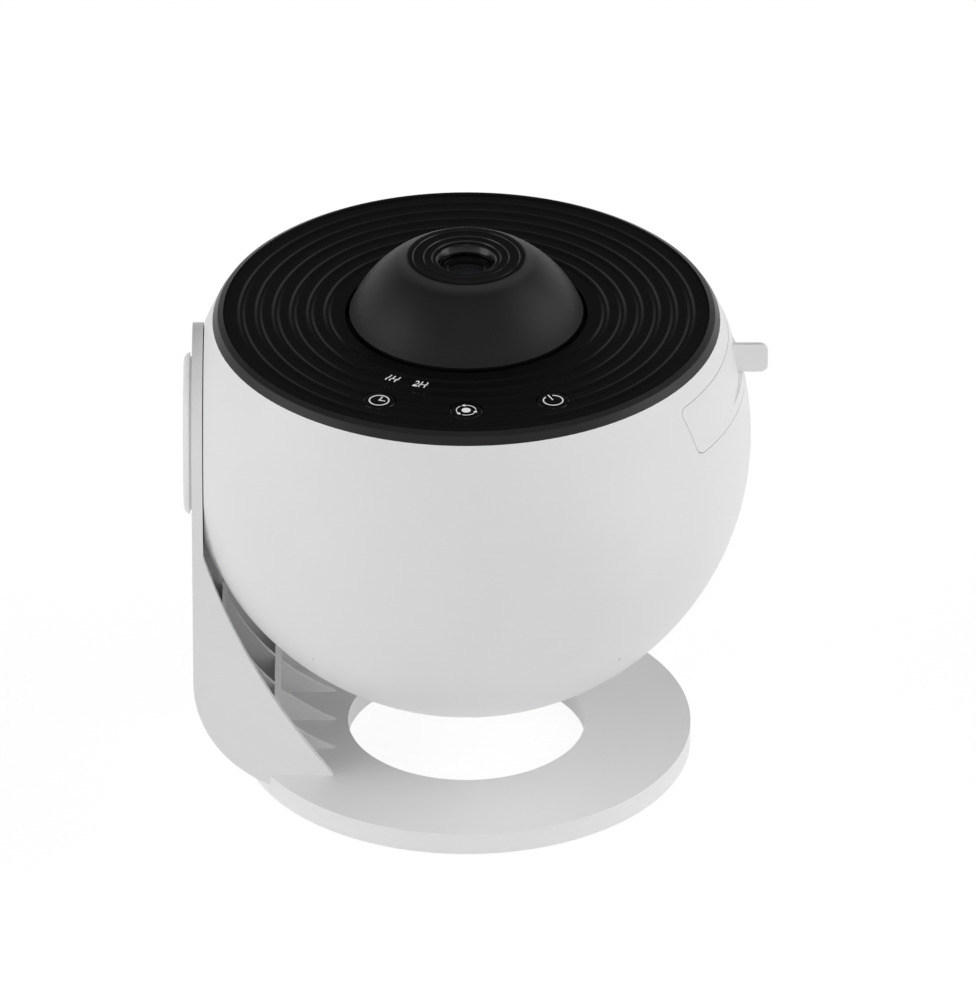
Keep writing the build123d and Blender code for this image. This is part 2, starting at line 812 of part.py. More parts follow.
with BuildPart() as top_panel:
    with BuildSketch(ball_section):
        with BuildLine():
            foot = ripple_width / 2
            last_crest = ripple_start_radius + (ripple_count - 1) * ripple_pitch
            Polyline(
                (ripple_start_radius - foot, panel_top_z),
                (panel_well_radius, panel_top_z),
                (panel_well_radius, panel_bottom_z),
                (panel_radius, panel_bottom_z),
                (panel_radius, panel_top_z),
                (last_crest + foot, panel_top_z),
            )
            for wave in range(ripple_count):
                crest = ripple_start_radius + wave * ripple_pitch
                ridge_top = (crest, panel_top_z + ripple_height)
                ThreePointArc((crest - foot, panel_top_z), ridge_top, (crest + foot, panel_top_z))
                if wave < ripple_count - 1:
                    Line((crest + foot, panel_top_z), (crest + ripple_pitch - foot, panel_top_z))
        make_face()
    revolve(axis=Axis.Z)
    with BuildSketch(level(panel_top_z + ripple_height)):
        with PolarLocations(key_circle, 3, start_angle=-90 - key_spread, angular_range=3 * key_spread):
            Circle(key_radius + key_gap)
    extrude(amount=-(panel_thickness + ripple_height), mode=Mode.SUBTRACT)
top_panel.part.label = "top_panel"

# ---------------------------------------------------------------- keys

key_names = ("timer_key", "rotation_key", "power_key")
key_parts = []
key_places = []
for index, key_name in enumerate(key_names):
    key_angle = radians(-90 + key_spread * (index - 1))
    key_place = (key_circle * cos(key_angle), key_circle * sin(key_angle))
    key_places.append(key_place)
    with BuildPart() as key:
        with BuildSketch(level(key_top_gap_z)):
            with Locations(key_place):
                Circle(key_collar_radius)
        extrude(amount=-key_collar_thickness)
        with BuildSketch(level(key_top_gap_z)):
            with Locations(key_place):
                Circle(key_radius)
        extrude(amount=panel_top_z + key_proud - key_top_gap_z)
        fillet(key.faces().sort_by(Axis.Z)[-1].edges(), key_edge_round)
    key.part.label = key_name
    key_parts.append(key.part)

with BuildPart() as key_board:
    with BuildSketch(level(key_board_z)):
        with Locations((0, key_board_near_y - key_board_width / 2)):
            RectangleRounded(key_board_length, key_board_width, key_board_corner)
        with Locations((0, key_board_screw_y)):
            with GridLocations(key_board_screw_spread, 0, 2, 1):
                Circle(small_screw_radius + screw_clear, mode=Mode.SUBTRACT)
    extrude(amount=key_board_thickness)
key_board.part.label = "key_board"

with BuildPart() as key_switches:
    with BuildSketch(level(board_top_z)):
        with Locations(*key_places):
            Rectangle(switch_side, switch_side)
    extrude(amount=switch_height)
    with BuildSketch(level(board_top_z)):
        with Locations(*key_places):
            Circle(plunger_radius)
    extrude(amount=plunger_top_z - board_top_z)
key_switches.part.label = "key_switches"

with BuildPart() as key_board_screws:
    with Locations((0, key_board_screw_y, pivot_height + board_top_z)):
        with GridLocations(key_board_screw_spread, 0, 2, 1):
            add(small_screw)
key_board_screws.part.label = "key_board_screws"

# ---------------------------------------------------------------- chassis and deck

with BuildPart() as chassis:
    with BuildSketch(level(chassis_bottom_z)):
        Circle(chassis_radius)
    extrude(amount=chassis_thickness)
    # Runners under the tray, rails beside it and lips over its arms
    rail_length = rail_front_x - rail_back_x
    rail_mid_x = (rail_front_x + rail_back_x) / 2
    with BuildSketch(level(chassis_top_z)):
        for side in (-1, 1):
            with Locations((rail_mid_x, side * (rail_inner_y + rail_outer_y) / 2)):
                Rectangle(rail_length, rail_thickness)
    extrude(amount=deck_bottom_z - chassis_top_z)
    with BuildSketch(level(chassis_top_z)):
        for side in (-1, 1):
            with Locations((rail_mid_x, side * (rail_inner_y - runner_width / 2))):
                Rectangle(rail_length, runner_width)
    extrude(amount=tray_floor_z - running_gap - chassis_top_z)
    with BuildSketch(level(tray_arm_top_z + sliding_gap)):
        for side in (-1, 1):
            with Locations((rail_mid_x, side * (rail_inner_y - rail_lip_reach / 2))):
                Rectangle(rail_length, rail_lip_reach)
    extrude(amount=rail_lip_thickness)
    with BuildSketch(level(chassis_top_z)):
        with GridLocations(2 * deck_screw_place[0], 2 * deck_screw_place[1], 2, 2):
            Circle(deck_boss_radius)
    extrude(amount=deck_bottom_z - chassis_top_z)
    # Bosses below, over the shell's posts
    with BuildSketch(level(chassis_bottom_z)):
        with GridLocations(2 * post_place, 2 * post_place, 2, 2):
            Circle(chassis_boss_radius)
    extrude(amount=-(chassis_bottom_z - post_top_z))
    with BuildSketch(level(post_top_z)):
        with GridLocations(2 * post_place, 2 * post_place, 2, 2):
            Circle(screw_radius + seat_gap)
    extrude(amount=post_screw_depth, mode=Mode.SUBTRACT)
    # Everything stays inside the mouth of the shell
    with BuildSketch(level(post_top_z)):
        Circle(chassis_radius)
    extrude(amount=deck_top_z - post_top_z, mode=Mode.INTERSECT)
    # Holes for the light, the motor, the bezel's screws and the screws from above
    with BuildSketch(level(chassis_bottom_z)):
        Circle(light_hole_radius)
        with Locations((pinion_x, 0)):
            Circle(motor_nose_radius + screw_clear)
            with GridLocations(0, 2 * motor_ear_spread, 1, 2):
                Circle(small_screw_radius + seat_gap)
        with PolarLocations(lamp_ear_circle, 3):
            Circle(small_screw_radius + seat_gap)
        for turn in (bezel_post_angle, 180 - bezel_post_angle):
            with PolarLocations(bezel_post_circle, 2, start_angle=turn):
                Circle(screw_radius + screw_clear)
        with Locations((0, main_board_y)):
            with GridLocations(board_hole_spread, 0, 2, 1):
                Circle(small_screw_radius + seat_gap)
    extrude(amount=chassis_thickness, mode=Mode.SUBTRACT)
    with BuildSketch(level(deck_bottom_z)):
        with GridLocations(2 * deck_screw_place[0], 2 * deck_screw_place[1], 2, 2):
            Circle(screw_radius + seat_gap)
    extrude(amount=-deck_screw_depth, mode=Mode.SUBTRACT)
chassis.part.label = "chassis"

with BuildPart() as lens_deck:
    with BuildSketch(level(deck_bottom_z)):
        with Locations((rail_mid_x, 0)):
            Rectangle(rail_length, 2 * deck_half_width)
        with Locations((0, deck_tongue_end_y / 2)):
            Rectangle(deck_tongue_width, -deck_tongue_end_y)
        Circle(chassis_radius, mode=Mode.INTERSECT)
        Circle(deck_light_radius, mode=Mode.SUBTRACT)
        with GridLocations(2 * deck_screw_place[0], 2 * deck_screw_place[1], 2, 2):
            Circle(screw_radius + screw_clear, mode=Mode.SUBTRACT)
        with PolarLocations(guide_screw_circle, 3, start_angle=guide_screw_angle):
            Circle(small_screw_radius + seat_gap, mode=Mode.SUBTRACT)
        with Locations((0, key_board_screw_y)):
            with GridLocations(key_board_screw_spread, 0, 2, 1):
                Circle(small_screw_radius + seat_gap, mode=Mode.SUBTRACT)
    extrude(amount=deck_thickness)
    with BuildSketch(level(deck_top_z)):
        with Locations((0, key_board_screw_y)):
            with GridLocations(key_board_screw_spread, 0, 2, 1):
                Circle(small_head_radius)
                Circle(small_screw_radius + seat_gap, mode=Mode.SUBTRACT)
    extrude(amount=key_board_z - deck_top_z)
lens_deck.part.label = "lens_deck"

with BuildPart() as deck_screws:
    with Locations((0, 0, pivot_height + deck_top_z)):
        with GridLocations(2 * deck_screw_place[0], 2 * deck_screw_place[1], 2, 2):
            add(screw)
deck_screws.part.label = "deck_screws"

with BuildPart() as shell_screws:
    with Locations(Location((0, 0, pivot_height + post_top_z - post_head_seat), (180, 0, 0))):
        with GridLocations(2 * post_place, 2 * post_place, 2, 2):
            add(screw)
shell_screws.part.label = "shell_screws"

with BuildPart() as bezel_screws:
    with Locations(Location((0, 0, pivot_height + chassis_bottom_z), (180, 0, 0))):
        for turn in (bezel_post_angle, 180 - bezel_post_angle):
            with PolarLocations(bezel_post_circle, 2, start_angle=turn):
                add(screw)
bezel_screws.part.label = "bezel_screws"

# ---------------------------------------------------------------- lens guide, barrel, focus dome

with BuildPart() as lens_guide:
    with BuildSketch(level(deck_top_z)):
        Circle(guide_flange_radius)
    extrude(amount=guide_flange_thickness)
    with BuildSketch(level(deck_top_z)):
        Circle(guide_radius)
    extrude(amount=guide_top_z - deck_top_z)
    with Locations((0, 0, pivot_height + guide_top_z)):
        Hole(guide_bore_radius)
    # Straight slots that keep the barrel's pins from turning
    slot_top_z = cam_pin_z + cam_pin_radius + slot_end_gap
    slot_bottom_z = cam_pin_z - radians(focus_turn) * focus_lead - cam_pin_radius - slot_end_gap
    with PolarLocations(0, cam_pin_count):
        with Locations((guide_radius, 0, pivot_height + (slot_top_z + slot_bottom_z) / 2)):
            Box(
                4 * guide_wall,
                2 * (cam_pin_radius + running_gap),
                slot_top_z - slot_bottom_z,
                mode=Mode.SUBTRACT,
            )
    # Groove for the snap ring that holds the dome down
    with BuildSketch(level(snap_ring_z - seat_gap)):
        Circle(guide_radius + guide_wall)
        Circle(guide_radius - snap_groove_depth, mode=Mode.SUBTRACT)
    extrude(amount=snap_ring_thickness + 2 * seat_gap, mode=Mode.SUBTRACT)
    with BuildSketch(level(deck_top_z)):
        with PolarLocations(guide_screw_circle, 3, start_angle=guide_screw_angle):
            Circle(small_screw_radius + screw_clear)
    extrude(amount=guide_flange_thickness, mode=Mode.SUBTRACT)
lens_guide.part.label = "lens_guide"

with BuildPart() as guide_screws:
    with Locations((0, 0, pivot_height + deck_top_z + guide_flange_thickness)):
        with PolarLocations(guide_screw_circle, 3, start_angle=guide_screw_angle):
            add(small_screw)
guide_screws.part.label = "guide_screws"

with BuildPart() as snap_ring:
    with BuildSketch(level(snap_ring_z)):
        Circle(snap_ring_radius)
        Circle(guide_radius - snap_groove_depth + seat_gap, mode=Mode.SUBTRACT)
        with Locations((-snap_ring_radius, 0)):
            Rectangle(snap_ring_radius / 2, snap_ring_gap, mode=Mode.SUBTRACT)
    extrude(amount=snap_ring_thickness)
snap_ring.part.label = "snap_ring"

# One cam slot's cutter: a helix that starts above the pin and falls as the dome turns.
cam_turn = focus_turn + 2 * cam_overrun
cam_fall = radians(cam_turn) * focus_lead
cam_mid_radius = (sleeve_bore_radius + sleeve_radius) / 2
with BuildPart() as cam_cutter:
    with BuildLine():
        cam_path = Helix(
            pitch=2 * pi * focus_lead,
            height=cam_fall,
            radius=cam_mid_radius,
            center=(0, 0, pivot_height + cam_pin_z - radians(focus_turn + cam_overrun) * focus_lead),
        )
    with BuildSketch(Plane(origin=cam_path @ 0, x_dir=(1, 0, 0), z_dir=cam_path % 0)):
        Rectangle(2 * (sleeve_radius - sleeve_bore_radius), 2 * (cam_pin_radius + cam_slot_gap))
    sweep(is_frenet=True)

with BuildPart() as focus_dome:
    skin_foot = (dome_lower_radius - dome_wall, dome_lower_z)
    skin_top = (sleeve_radius, dome_top_z - 1.7 * dome_wall)
    skin_mid = (dome_mid[0] - dome_wall * 0.8, dome_mid[1] - dome_wall * 0.75)
    with BuildSketch(ball_section):
        with BuildLine():
            Polyline(skin_foot, (dome_lower_radius, dome_lower_z), (dome_radius, dome_widest_z))
            ThreePointArc((dome_radius, dome_widest_z), dome_mid, (dome_shoulder_radius, dome_top_z))
            Polyline(
                (dome_shoulder_radius, dome_top_z),
                (dome_bore_radius, dome_top_z),
                (dome_bore_radius, snap_ring_z - sliding_gap),
                (sleeve_bore_radius, snap_ring_z - sliding_gap),
                (sleeve_bore_radius, sleeve_bottom_z),
                (sleeve_radius, sleeve_bottom_z),
                skin_top,
            )
            ThreePointArc(skin_top, skin_mid, skin_foot)
        make_face()
    revolve(axis=Axis.Z)
    with PolarLocations(0, cam_pin_count, start_angle=-focus_turn - cam_overrun):
        add(cam_cutter.part, mode=Mode.SUBTRACT)
focus_dome.part.label = "focus_dome"

with BuildPart() as lens_insert:
    insert_radius = dome_bore_radius - seat_gap
    with BuildSketch(ball_section):
        with BuildLine():
            profile = [(insert_radius, dome_top_z - insert_depth), (insert_radius, dome_top_z)]
            step_z = dome_top_z
            for step_radius, step_fall in insert_steps:
                profile.append((step_radius, step_z))
                step_z -= step_fall
                profile.append((step_radius, step_z))
            profile.append((insert_cone_radius, step_z))
            profile.append((insert_hole_radius, step_z - insert_cone_depth))
            profile.append((insert_hole_radius, step_z - insert_floor))
            profile.append((insert_radius - insert_rim_width, step_z - insert_floor))
            profile.append((insert_radius - insert_rim_width, dome_top_z - insert_depth))
            Polyline(*profile, close=True)
        make_face()
    revolve(axis=Axis.Z)
lens_insert.part.label = "lens_insert"

with BuildPart() as lens_barrel:
    with BuildSketch(level(barrel_bottom_z)):
        Circle(barrel_radius)
        Circle(lens_clear_radius, mode=Mode.SUBTRACT)
    extrude(amount=barrel_top_z - barrel_bottom_z)
    with BuildSketch(level(front_lens_edge_z)):
        Circle(lens_seat_radius + seat_gap)
    extrude(amount=barrel_top_z - front_lens_edge_z, mode=Mode.SUBTRACT)
    with BuildSketch(level(rear_lens_edge_z + rear_lens_edge)):
        Circle(lens_seat_radius + seat_gap)
    extrude(amount=-(rear_lens_edge_z + rear_lens_edge - barrel_bottom_z), mode=Mode.SUBTRACT)
    with PolarLocations(0, cam_pin_count):
        with Locations((barrel_radius, 0, pivot_height + cam_pin_z)):
            Cylinder(cam_pin_radius + seat_gap, pin_bore_length, rotation=(0, 90, 0), mode=Mode.SUBTRACT)
lens_barrel.part.label = "lens_barrel"

with BuildPart() as cam_pins:
    with PolarLocations(0, cam_pin_count):
        with Locations((sleeve_radius - cam_pin_recess - cam_pin_length / 2, 0, pivot_height + cam_pin_z)):
            Cylinder(cam_pin_radius, cam_pin_length, rotation=(0, 90, 0))
cam_pins.part.label = "cam_pins"

with BuildPart() as front_lens:
    with BuildSketch(ball_section):
        add(
            lens_face(
                front_lens_edge_z,
                front_lens_edge,
                lens_clear_radius,
                lens_seat_radius,
                front_lens_bulge,
                front_lens_belly,
            )
        )
    revolve(axis=Axis.Z)
front_lens.part.label = "front_lens"

with BuildPart() as rear_lens:
    with BuildSketch(ball_section):
        add(
            lens_face(
                rear_lens_edge_z,
                rear_lens_edge,
                lens_clear_radius - clamp_thickness,
                lens_seat_radius,
                rear_lens_bulge,
                rear_lens_belly,
            )
        )
    revolve(axis=Axis.Z)
rear_lens.part.label = "rear_lens"

with BuildPart() as lens_clamps:
    for clamp_z in (front_lens_edge_z + front_lens_edge, rear_lens_edge_z - clamp_thickness):
        with BuildSketch(level(clamp_z)):
            Circle(lens_seat_radius)
            Circle(lens_clear_radius, mode=Mode.SUBTRACT)
        extrude(amount=clamp_thickness)
lens_clamps.part.label = "lens_clamps"

# ---------------------------------------------------------------- lamp

with BuildPart() as lamp_tube:
    with BuildSketch(level(lamp_bottom_z)):
        Circle(lamp_tube_radius)
    extrude(amount=chassis_bottom_z - lamp_bottom_z)
    with BuildSketch(level(chassis_bottom_z)):
        with PolarLocations(lamp_ear_circle, 3):
            Circle(lamp_ear_radius)
        with PolarLocations(lamp_ear_circle - lamp_ear_radius, 3):
            Rectangle(2 * lamp_ear_radius, 2 * lamp_ear_radius)
    extrude(amount=-lamp_ear_thickness)
    with BuildSketch(level(chassis_bottom_z)):
        Circle(lamp_bore_radius)
    extrude(amount=-(chassis_bottom_z - condenser_edge_z), mode=Mode.SUBTRACT)
    with BuildSketch(level(condenser_edge_z)):
        Circle(lamp_lower_bore_radius)
    extrude(amount=-(condenser_edge_z - lamp_bottom_z), mode=Mode.SUBTRACT)
    with BuildSketch(level(chassis_bottom_z)):
        with PolarLocations(lamp_ear_circle, 3):
            Circle(small_screw_radius + screw_clear)
    extrude(amount=-lamp_ear_thickness, mode=Mode.SUBTRACT)
    with BuildSketch(level(lamp_bottom_z)):
        with PolarLocations(sink_screw_circle, 3, start_angle=sink_screw_angle):
            Circle(small_screw_radius + seat_gap)
    extrude(amount=sink_hole_depth, mode=Mode.SUBTRACT)
lamp_tube.part.label = "lamp_tube"

with BuildPart() as lamp_screws:
    with Locations(Location((0, 0, pivot_height + chassis_bottom_z - lamp_ear_thickness), (180, 0, 0))):
        with PolarLocations(lamp_ear_circle, 3, start_angle=0):
            add(small_screw)
lamp_screws.part.label = "lamp_screws"

with BuildPart() as condenser_lens:
    with BuildSketch(ball_section):
        add(
            lens_face(
                condenser_edge_z,
                condenser_edge,
                lamp_bore_radius - condenser_rim,
                lamp_bore_radius - sliding_gap,
                condenser_bulge,
                0,
            )
        )
    revolve(axis=Axis.Z)
condenser_lens.part.label = "condenser_lens"

with BuildPart() as led_board:
    with BuildSketch(level(lamp_bottom_z)):
        Circle(led_board_radius)
    extrude(amount=led_board_thickness)
led_board.part.label = "led_board"

with BuildPart() as lamp_led:
    led_z = lamp_bottom_z + led_board_thickness
    with BuildSketch(level(led_z)):
        Rectangle(led_side, led_side)
    extrude(amount=led_height)
    with Locations((0, 0, pivot_height + led_z + led_height)):
        Sphere(led_dome_radius)
    split(bisect_by=level(led_z), keep=Keep.TOP)
lamp_led.part.label = "lamp_led"

with BuildPart() as heat_sink:
    sink_top_z = lamp_bottom_z
    with BuildSketch(level(sink_top_z)):
        Circle(sink_radius)
        with PolarLocations(sink_screw_circle, 3, start_angle=sink_screw_angle):
            Circle(small_screw_radius + screw_clear, mode=Mode.SUBTRACT)
    extrude(amount=-sink_base)
    with BuildSketch(level(sink_top_z - sink_base)):
        with GridLocations(sink_fin_pitch, 0, sink_fin_count, 1):
            Rectangle(sink_fin_thickness, 2 * sink_fin_circle)
        Circle(sink_fin_circle, mode=Mode.INTERSECT)
    extrude(amount=-sink_fin_length)
heat_sink.part.label = "heat_sink"

with BuildPart() as sink_screws:
    sink_screw_length = sink_base + small_screw_length
    with Locations(Location((0, 0, pivot_height + sink_top_z - sink_base), (180, 0, 0))):
        with PolarLocations(sink_screw_circle, 3, start_angle=sink_screw_angle):
            add(screw_solid(small_screw_radius, sink_screw_length, small_head_radius, small_head_height))
sink_screws.part.label = "sink_screws"

# ---------------------------------------------------------------- drawer

with BuildPart() as drawer_tray:
    with BuildSketch(level(tray_floor_z)):
        with Locations(((tray_front_x + tray_back_x) / 2, 0)):
            Rectangle(tray_front_x - tray_back_x, 2 * tray_half_width)
        Circle(carrier_skirt_radius + running_gap, mode=Mode.SUBTRACT)
    extrude(amount=tray_floor_thickness)
    arm_y = tray_half_width - tray_arm_width / 2
    with BuildSketch(level(tray_floor_z)):
        with Locations(((tray_front_x + tray_arm_back_x) / 2, 0)):
            with GridLocations(0, 2 * arm_y, 1, 2):
                Rectangle(tray_front_x - tray_arm_back_x, tray_arm_width)
        with Locations((tray_front_x - tray_front_wall / 2, 0)):
            Rectangle(tray_front_wall, 2 * tray_half_width)
    extrude(amount=tray_arm_top_z - tray_floor_z)
    # Lugs that hold the disc carrier down
    lug_inner = pitch_radius - tray_lug_reach
    lug_outer = tray_half_width - tray_lug_inset
    lug_z = gear_bottom_z + gear_face + tray_lug_gap
    with BuildSketch(level(lug_z)):
        for side in (-1, 1):
            with Locations((0, side * (lug_inner + lug_outer) / 2)):
                Rectangle(tray_lug_length, lug_outer - lug_inner)
    extrude(amount=tray_lug_thickness)
    # The front corners follow the inside of the drawer front
    with Locations(ball_center):
        Sphere(inner_radius - seat_gap, mode=Mode.INTERSECT)
    with BuildSketch(ball_side.offset(tray_front_x)):
        with Locations((0, front_screw_z)):
            with GridLocations(2 * front_screw_y, 0, 2, 1):
                Circle(small_screw_radius + screw_clear)
    extrude(amount=-tray_front_wall, mode=Mode.SUBTRACT)
drawer_tray.part.label = "drawer_tray"

# Everything the drawer front may fill: the opening less its seam
with BuildPart() as front_window:
    with BuildSketch(ball_side.offset(tray_front_x)):
        with Locations((0, (drawer_bottom_z + drawer_top_z) / 2)):
            RectangleRounded(
                2 * (drawer_half_width - seam_gap),
                drawer_top_z - drawer_bottom_z - 2 * seam_gap,
                drawer_corner_radius - seam_gap,
            )
    extrude(amount=ball_radius)
    with BuildSketch(ball_side.offset(tray_front_x)):
        with Locations((0, (drawer_bottom_z + drawer_top_z) / 2)):
            RectangleRounded(
                2 * (drawer_half_width - seam_gap),
                drawer_top_z - drawer_bottom_z - 2 * seam_gap,
                drawer_corner_radius - seam_gap,
            )
    extrude(amount=-ball_radius / 4)

with BuildPart() as front_bosses:
    with BuildSketch(ball_side.offset(tray_front_x)):
        with Locations((0, front_screw_z)):
            with GridLocations(2 * front_screw_y, 0, 2, 1):
                Circle(front_boss_radius)
    extrude(amount=2 * shell_wall)
    with Locations(ball_center):
        Sphere(ball_radius - shell_wall / 2, mode=Mode.INTERSECT)

# Upright fin to pull the drawer by; its root lies inside the wall behind the scoop
with BuildPart() as pull_fin:
    fin_root_x = sqrt(ball_radius**2 - scoop_levels[1][0] ** 2) - scoop_levels[1][1] - fin_root_depth
    with BuildSketch(ball_section):
        with Locations(((fin_root_x + fin_end_x) / 2, fin_mid_z)):
            Rectangle(fin_end_x - fin_root_x, 2 * fin_half_height)
    extrude(amount=fin_thickness / 2, both=True)
    fillet(pull_fin.edges().filter_by(Axis.Y).group_by(Axis.X)[-1], fin_corner_radius)
    fin_sides = pull_fin.faces().filter_by(Axis.Y).edges()
    fillet(fin_sides.filter_by(lambda edge: edge.center().X > fin_root_x + seat_gap), fin_edge_round)

with BuildPart() as drawer_front:
    with Locations(ball_center):
        Sphere(ball_radius)
        Sphere(inner_radius, mode=Mode.SUBTRACT)
    add(front_window.part, mode=Mode.INTERSECT)
    add(front_bosses.part)
    # Shallow finger scoop, deepest at its lower edge, that meets the ball at its two ends
    for scoop_z, depth in scoop_levels:
        floor_x = sqrt(ball_radius**2 - scoop_z**2) - depth
        end_x = sqrt(ball_radius**2 - scoop_z**2 - scoop_half_width**2) - scoop_end_depth
        with BuildSketch(level(scoop_z)):
            with BuildLine():
                floor_ends = ((end_x, -scoop_half_width), (end_x, scoop_half_width))
                ThreePointArc(floor_ends[0], (floor_x, 0), floor_ends[1])
                Polyline(
                    floor_ends[1],
                    (ball_radius + scoop_overrun, scoop_half_width),
                    (ball_radius + scoop_overrun, -scoop_half_width),
                    floor_ends[0],
                )
            make_face()
    loft(mode=Mode.SUBTRACT)
    add(pull_fin.part)
    with BuildSketch(ball_side.offset(tray_front_x)):
        with Locations((0, front_screw_z)):
            with GridLocations(2 * front_screw_y, 0, 2, 1):
                Circle(small_screw_radius + seat_gap)
    extrude(amount=front_hole_depth, mode=Mode.SUBTRACT)
drawer_front.part.label = "drawer_front"

with BuildPart() as front_screws:
    front_screw_x = tray_front_x - tray_front_wall
    with Locations(Location((front_screw_x, 0, pivot_height + front_screw_z), (0, -90, 0))):
        with GridLocations(0, 2 * front_screw_y, 1, 2):
            add(small_screw)
front_screws.part.label = "front_screws"

# ---------------------------------------------------------------- disc and drive

with BuildPart() as disc_carrier:
    root_radius = pitch_radius - gear_dedendum * gear_module
    with BuildSketch(level(tray_top_z + running_gap)):
        Circle(root_radius)
    extrude(amount=carrier_top_z - tray_top_z - running_gap)
    with BuildSketch(level(gear_bottom_z)):
        add(gear_outline(carrier_teeth, 180 + 180 / carrier_teeth))
    extrude(amount=gear_face)
    with BuildSketch(level(tray_top_z + running_gap)):
        Circle(carrier_skirt_radius)
    extrude(amount=-carrier_skirt_depth)
    with BuildSketch(level(carrier_top_z)):
        Circle(film_radius + sliding_gap)
    extrude(amount=-(carrier_top_z - film_ledge_z), mode=Mode.SUBTRACT)
    with BuildSketch(level(film_ledge_z)):
        Circle(film_ledge_radius)
    extrude(amount=-(film_ledge_z - tray_floor_z), mode=Mode.SUBTRACT)
    with BuildSketch(level(tray_top_z)):
        Circle(carrier_skirt_radius - carrier_skirt_wall)
    extrude(amount=-tray_floor_thickness, mode=Mode.SUBTRACT)
disc_carrier.part.label = "disc_carrier"

with BuildPart() as film_disc:
    with BuildSketch(level(film_ledge_z)):
        Circle(film_radius)
    extrude(amount=film_thickness)
film_disc.part.label = "film_disc"

with BuildPart() as disc_clip:
    with BuildSketch(level(film_ledge_z + film_thickness)):
        Circle(film_radius + sliding_gap - seat_gap)
        Circle(clip_inner_radius, mode=Mode.SUBTRACT)
    extrude(amount=clip_thickness)
disc_clip.part.label = "disc_clip"

with BuildPart() as drive_motor:
    with BuildSketch(level(motor_top_z)):
        with Locations((pinion_x, 0)):
            Circle(motor_radius)
    extrude(amount=-motor_length)
    with BuildSketch(level(motor_top_z)):
        with Locations((pinion_x, 0)):
            SlotOverall(2 * motor_ear_spread + motor_ear_width, motor_ear_width, rotation=90)
            with GridLocations(0, 2 * motor_ear_spread, 1, 2):
                Circle(small_screw_radius + screw_clear, mode=Mode.SUBTRACT)
    extrude(amount=motor_ear_thickness)
    with BuildSketch(level(motor_top_z)):
        with Locations((pinion_x, 0)):
            Circle(motor_nose_radius)
    extrude(amount=motor_nose_length)
    with BuildSketch(level(motor_top_z + motor_nose_length)):
        with Locations((pinion_x, 0)):
            Circle(motor_shaft_radius + seat_gap)
    extrude(amount=-motor_bore_depth, mode=Mode.SUBTRACT)
drive_motor.part.label = "drive_motor"

with BuildPart() as motor_screws:
    with Locations(Location((pinion_x, 0, pivot_height + motor_top_z), (180, 0, 0))):
        with GridLocations(0, 2 * motor_ear_spread, 1, 2):
            add(screw_solid(small_screw_radius, motor_screw_length, small_head_radius, small_head_height))
motor_screws.part.label = "motor_screws"

with BuildPart() as motor_shaft:
    shaft_bottom_z = motor_top_z + motor_nose_length - motor_bore_depth + sliding_gap
    with BuildSketch(level(shaft_bottom_z)):
        with Locations((pinion_x, 0)):
            Circle(motor_shaft_radius)
    extrude(amount=gear_bottom_z + gear_face + shaft_overrun - shaft_bottom_z)
motor_shaft.part.label = "motor_shaft"

with BuildPart() as drive_pinion:
    with BuildSketch(level(gear_bottom_z - pinion_lift)):
        with Locations((pinion_x, 0)):
            add(gear_outline(pinion_teeth, 0))
            Circle(motor_shaft_radius + seat_gap / 2, mode=Mode.SUBTRACT)
    extrude(amount=gear_face + pinion_lift)
drive_pinion.part.label = "drive_pinion"

# ---------------------------------------------------------------- boards, cell and socket

with BuildPart() as main_board:
    with BuildSketch(level(main_board_z)):
        with Locations((0, main_board_y)):
            RectangleRounded(main_board_size[0], main_board_size[1], main_board_corner)
            with GridLocations(board_hole_spread, 0, 2, 1):
                Circle(small_screw_radius + screw_clear, mode=Mode.SUBTRACT)
    extrude(amount=main_board_size[2])
main_board.part.label = "main_board"

with BuildPart() as board_parts:
    with BuildSketch(level(main_board_z)):
        with Locations((chip_place[0], main_board_y + chip_place[1])):
            Rectangle(chip_side, chip_side)
        with Locations((plug_place[0], main_board_y + plug_place[1])):
            Rectangle(*plug_size)
    extrude(amount=-chip_height)
    with BuildSketch(level(main_board_z)):
        with Locations((capacitor_place[0], main_board_y + capacitor_place[1])):
            Circle(capacitor_radius)
    extrude(amount=-capacitor_height)
board_parts.part.label = "board_parts"

with BuildPart() as board_spacers:
    with BuildSketch(level(main_board_z + main_board_size[2])):
        with Locations((0, main_board_y)):
            with GridLocations(board_hole_spread, 0, 2, 1):
                Circle(spacer_radius)
                Circle(small_screw_radius + screw_clear, mode=Mode.SUBTRACT)
    extrude(amount=chassis_bottom_z - main_board_z - main_board_size[2])
board_spacers.part.label = "board_spacers"

with BuildPart() as board_screws:
    board_screw_length = chassis_bottom_z - main_board_z + board_screw_grip
    with Locations(Location((0, main_board_y, pivot_height + main_board_z), (180, 0, 0))):
        with GridLocations(board_hole_spread, 0, 2, 1):
            add(screw_solid(small_screw_radius, board_screw_length, small_head_radius, small_head_height))
board_screws.part.label = "board_screws"

cell_plane = Plane.YZ.offset(-cell_length / 2)
with BuildPart() as battery_cell:
    with BuildSketch(cell_plane):
        with Locations((cell_y, pivot_height + cell_z)):
            Circle(cell_radius)
    extrude(amount=cell_length)
    fillet(battery_cell.edges().filter_by(GeomType.CIRCLE), cell_edge_round)
battery_cell.part.label = "battery_cell"

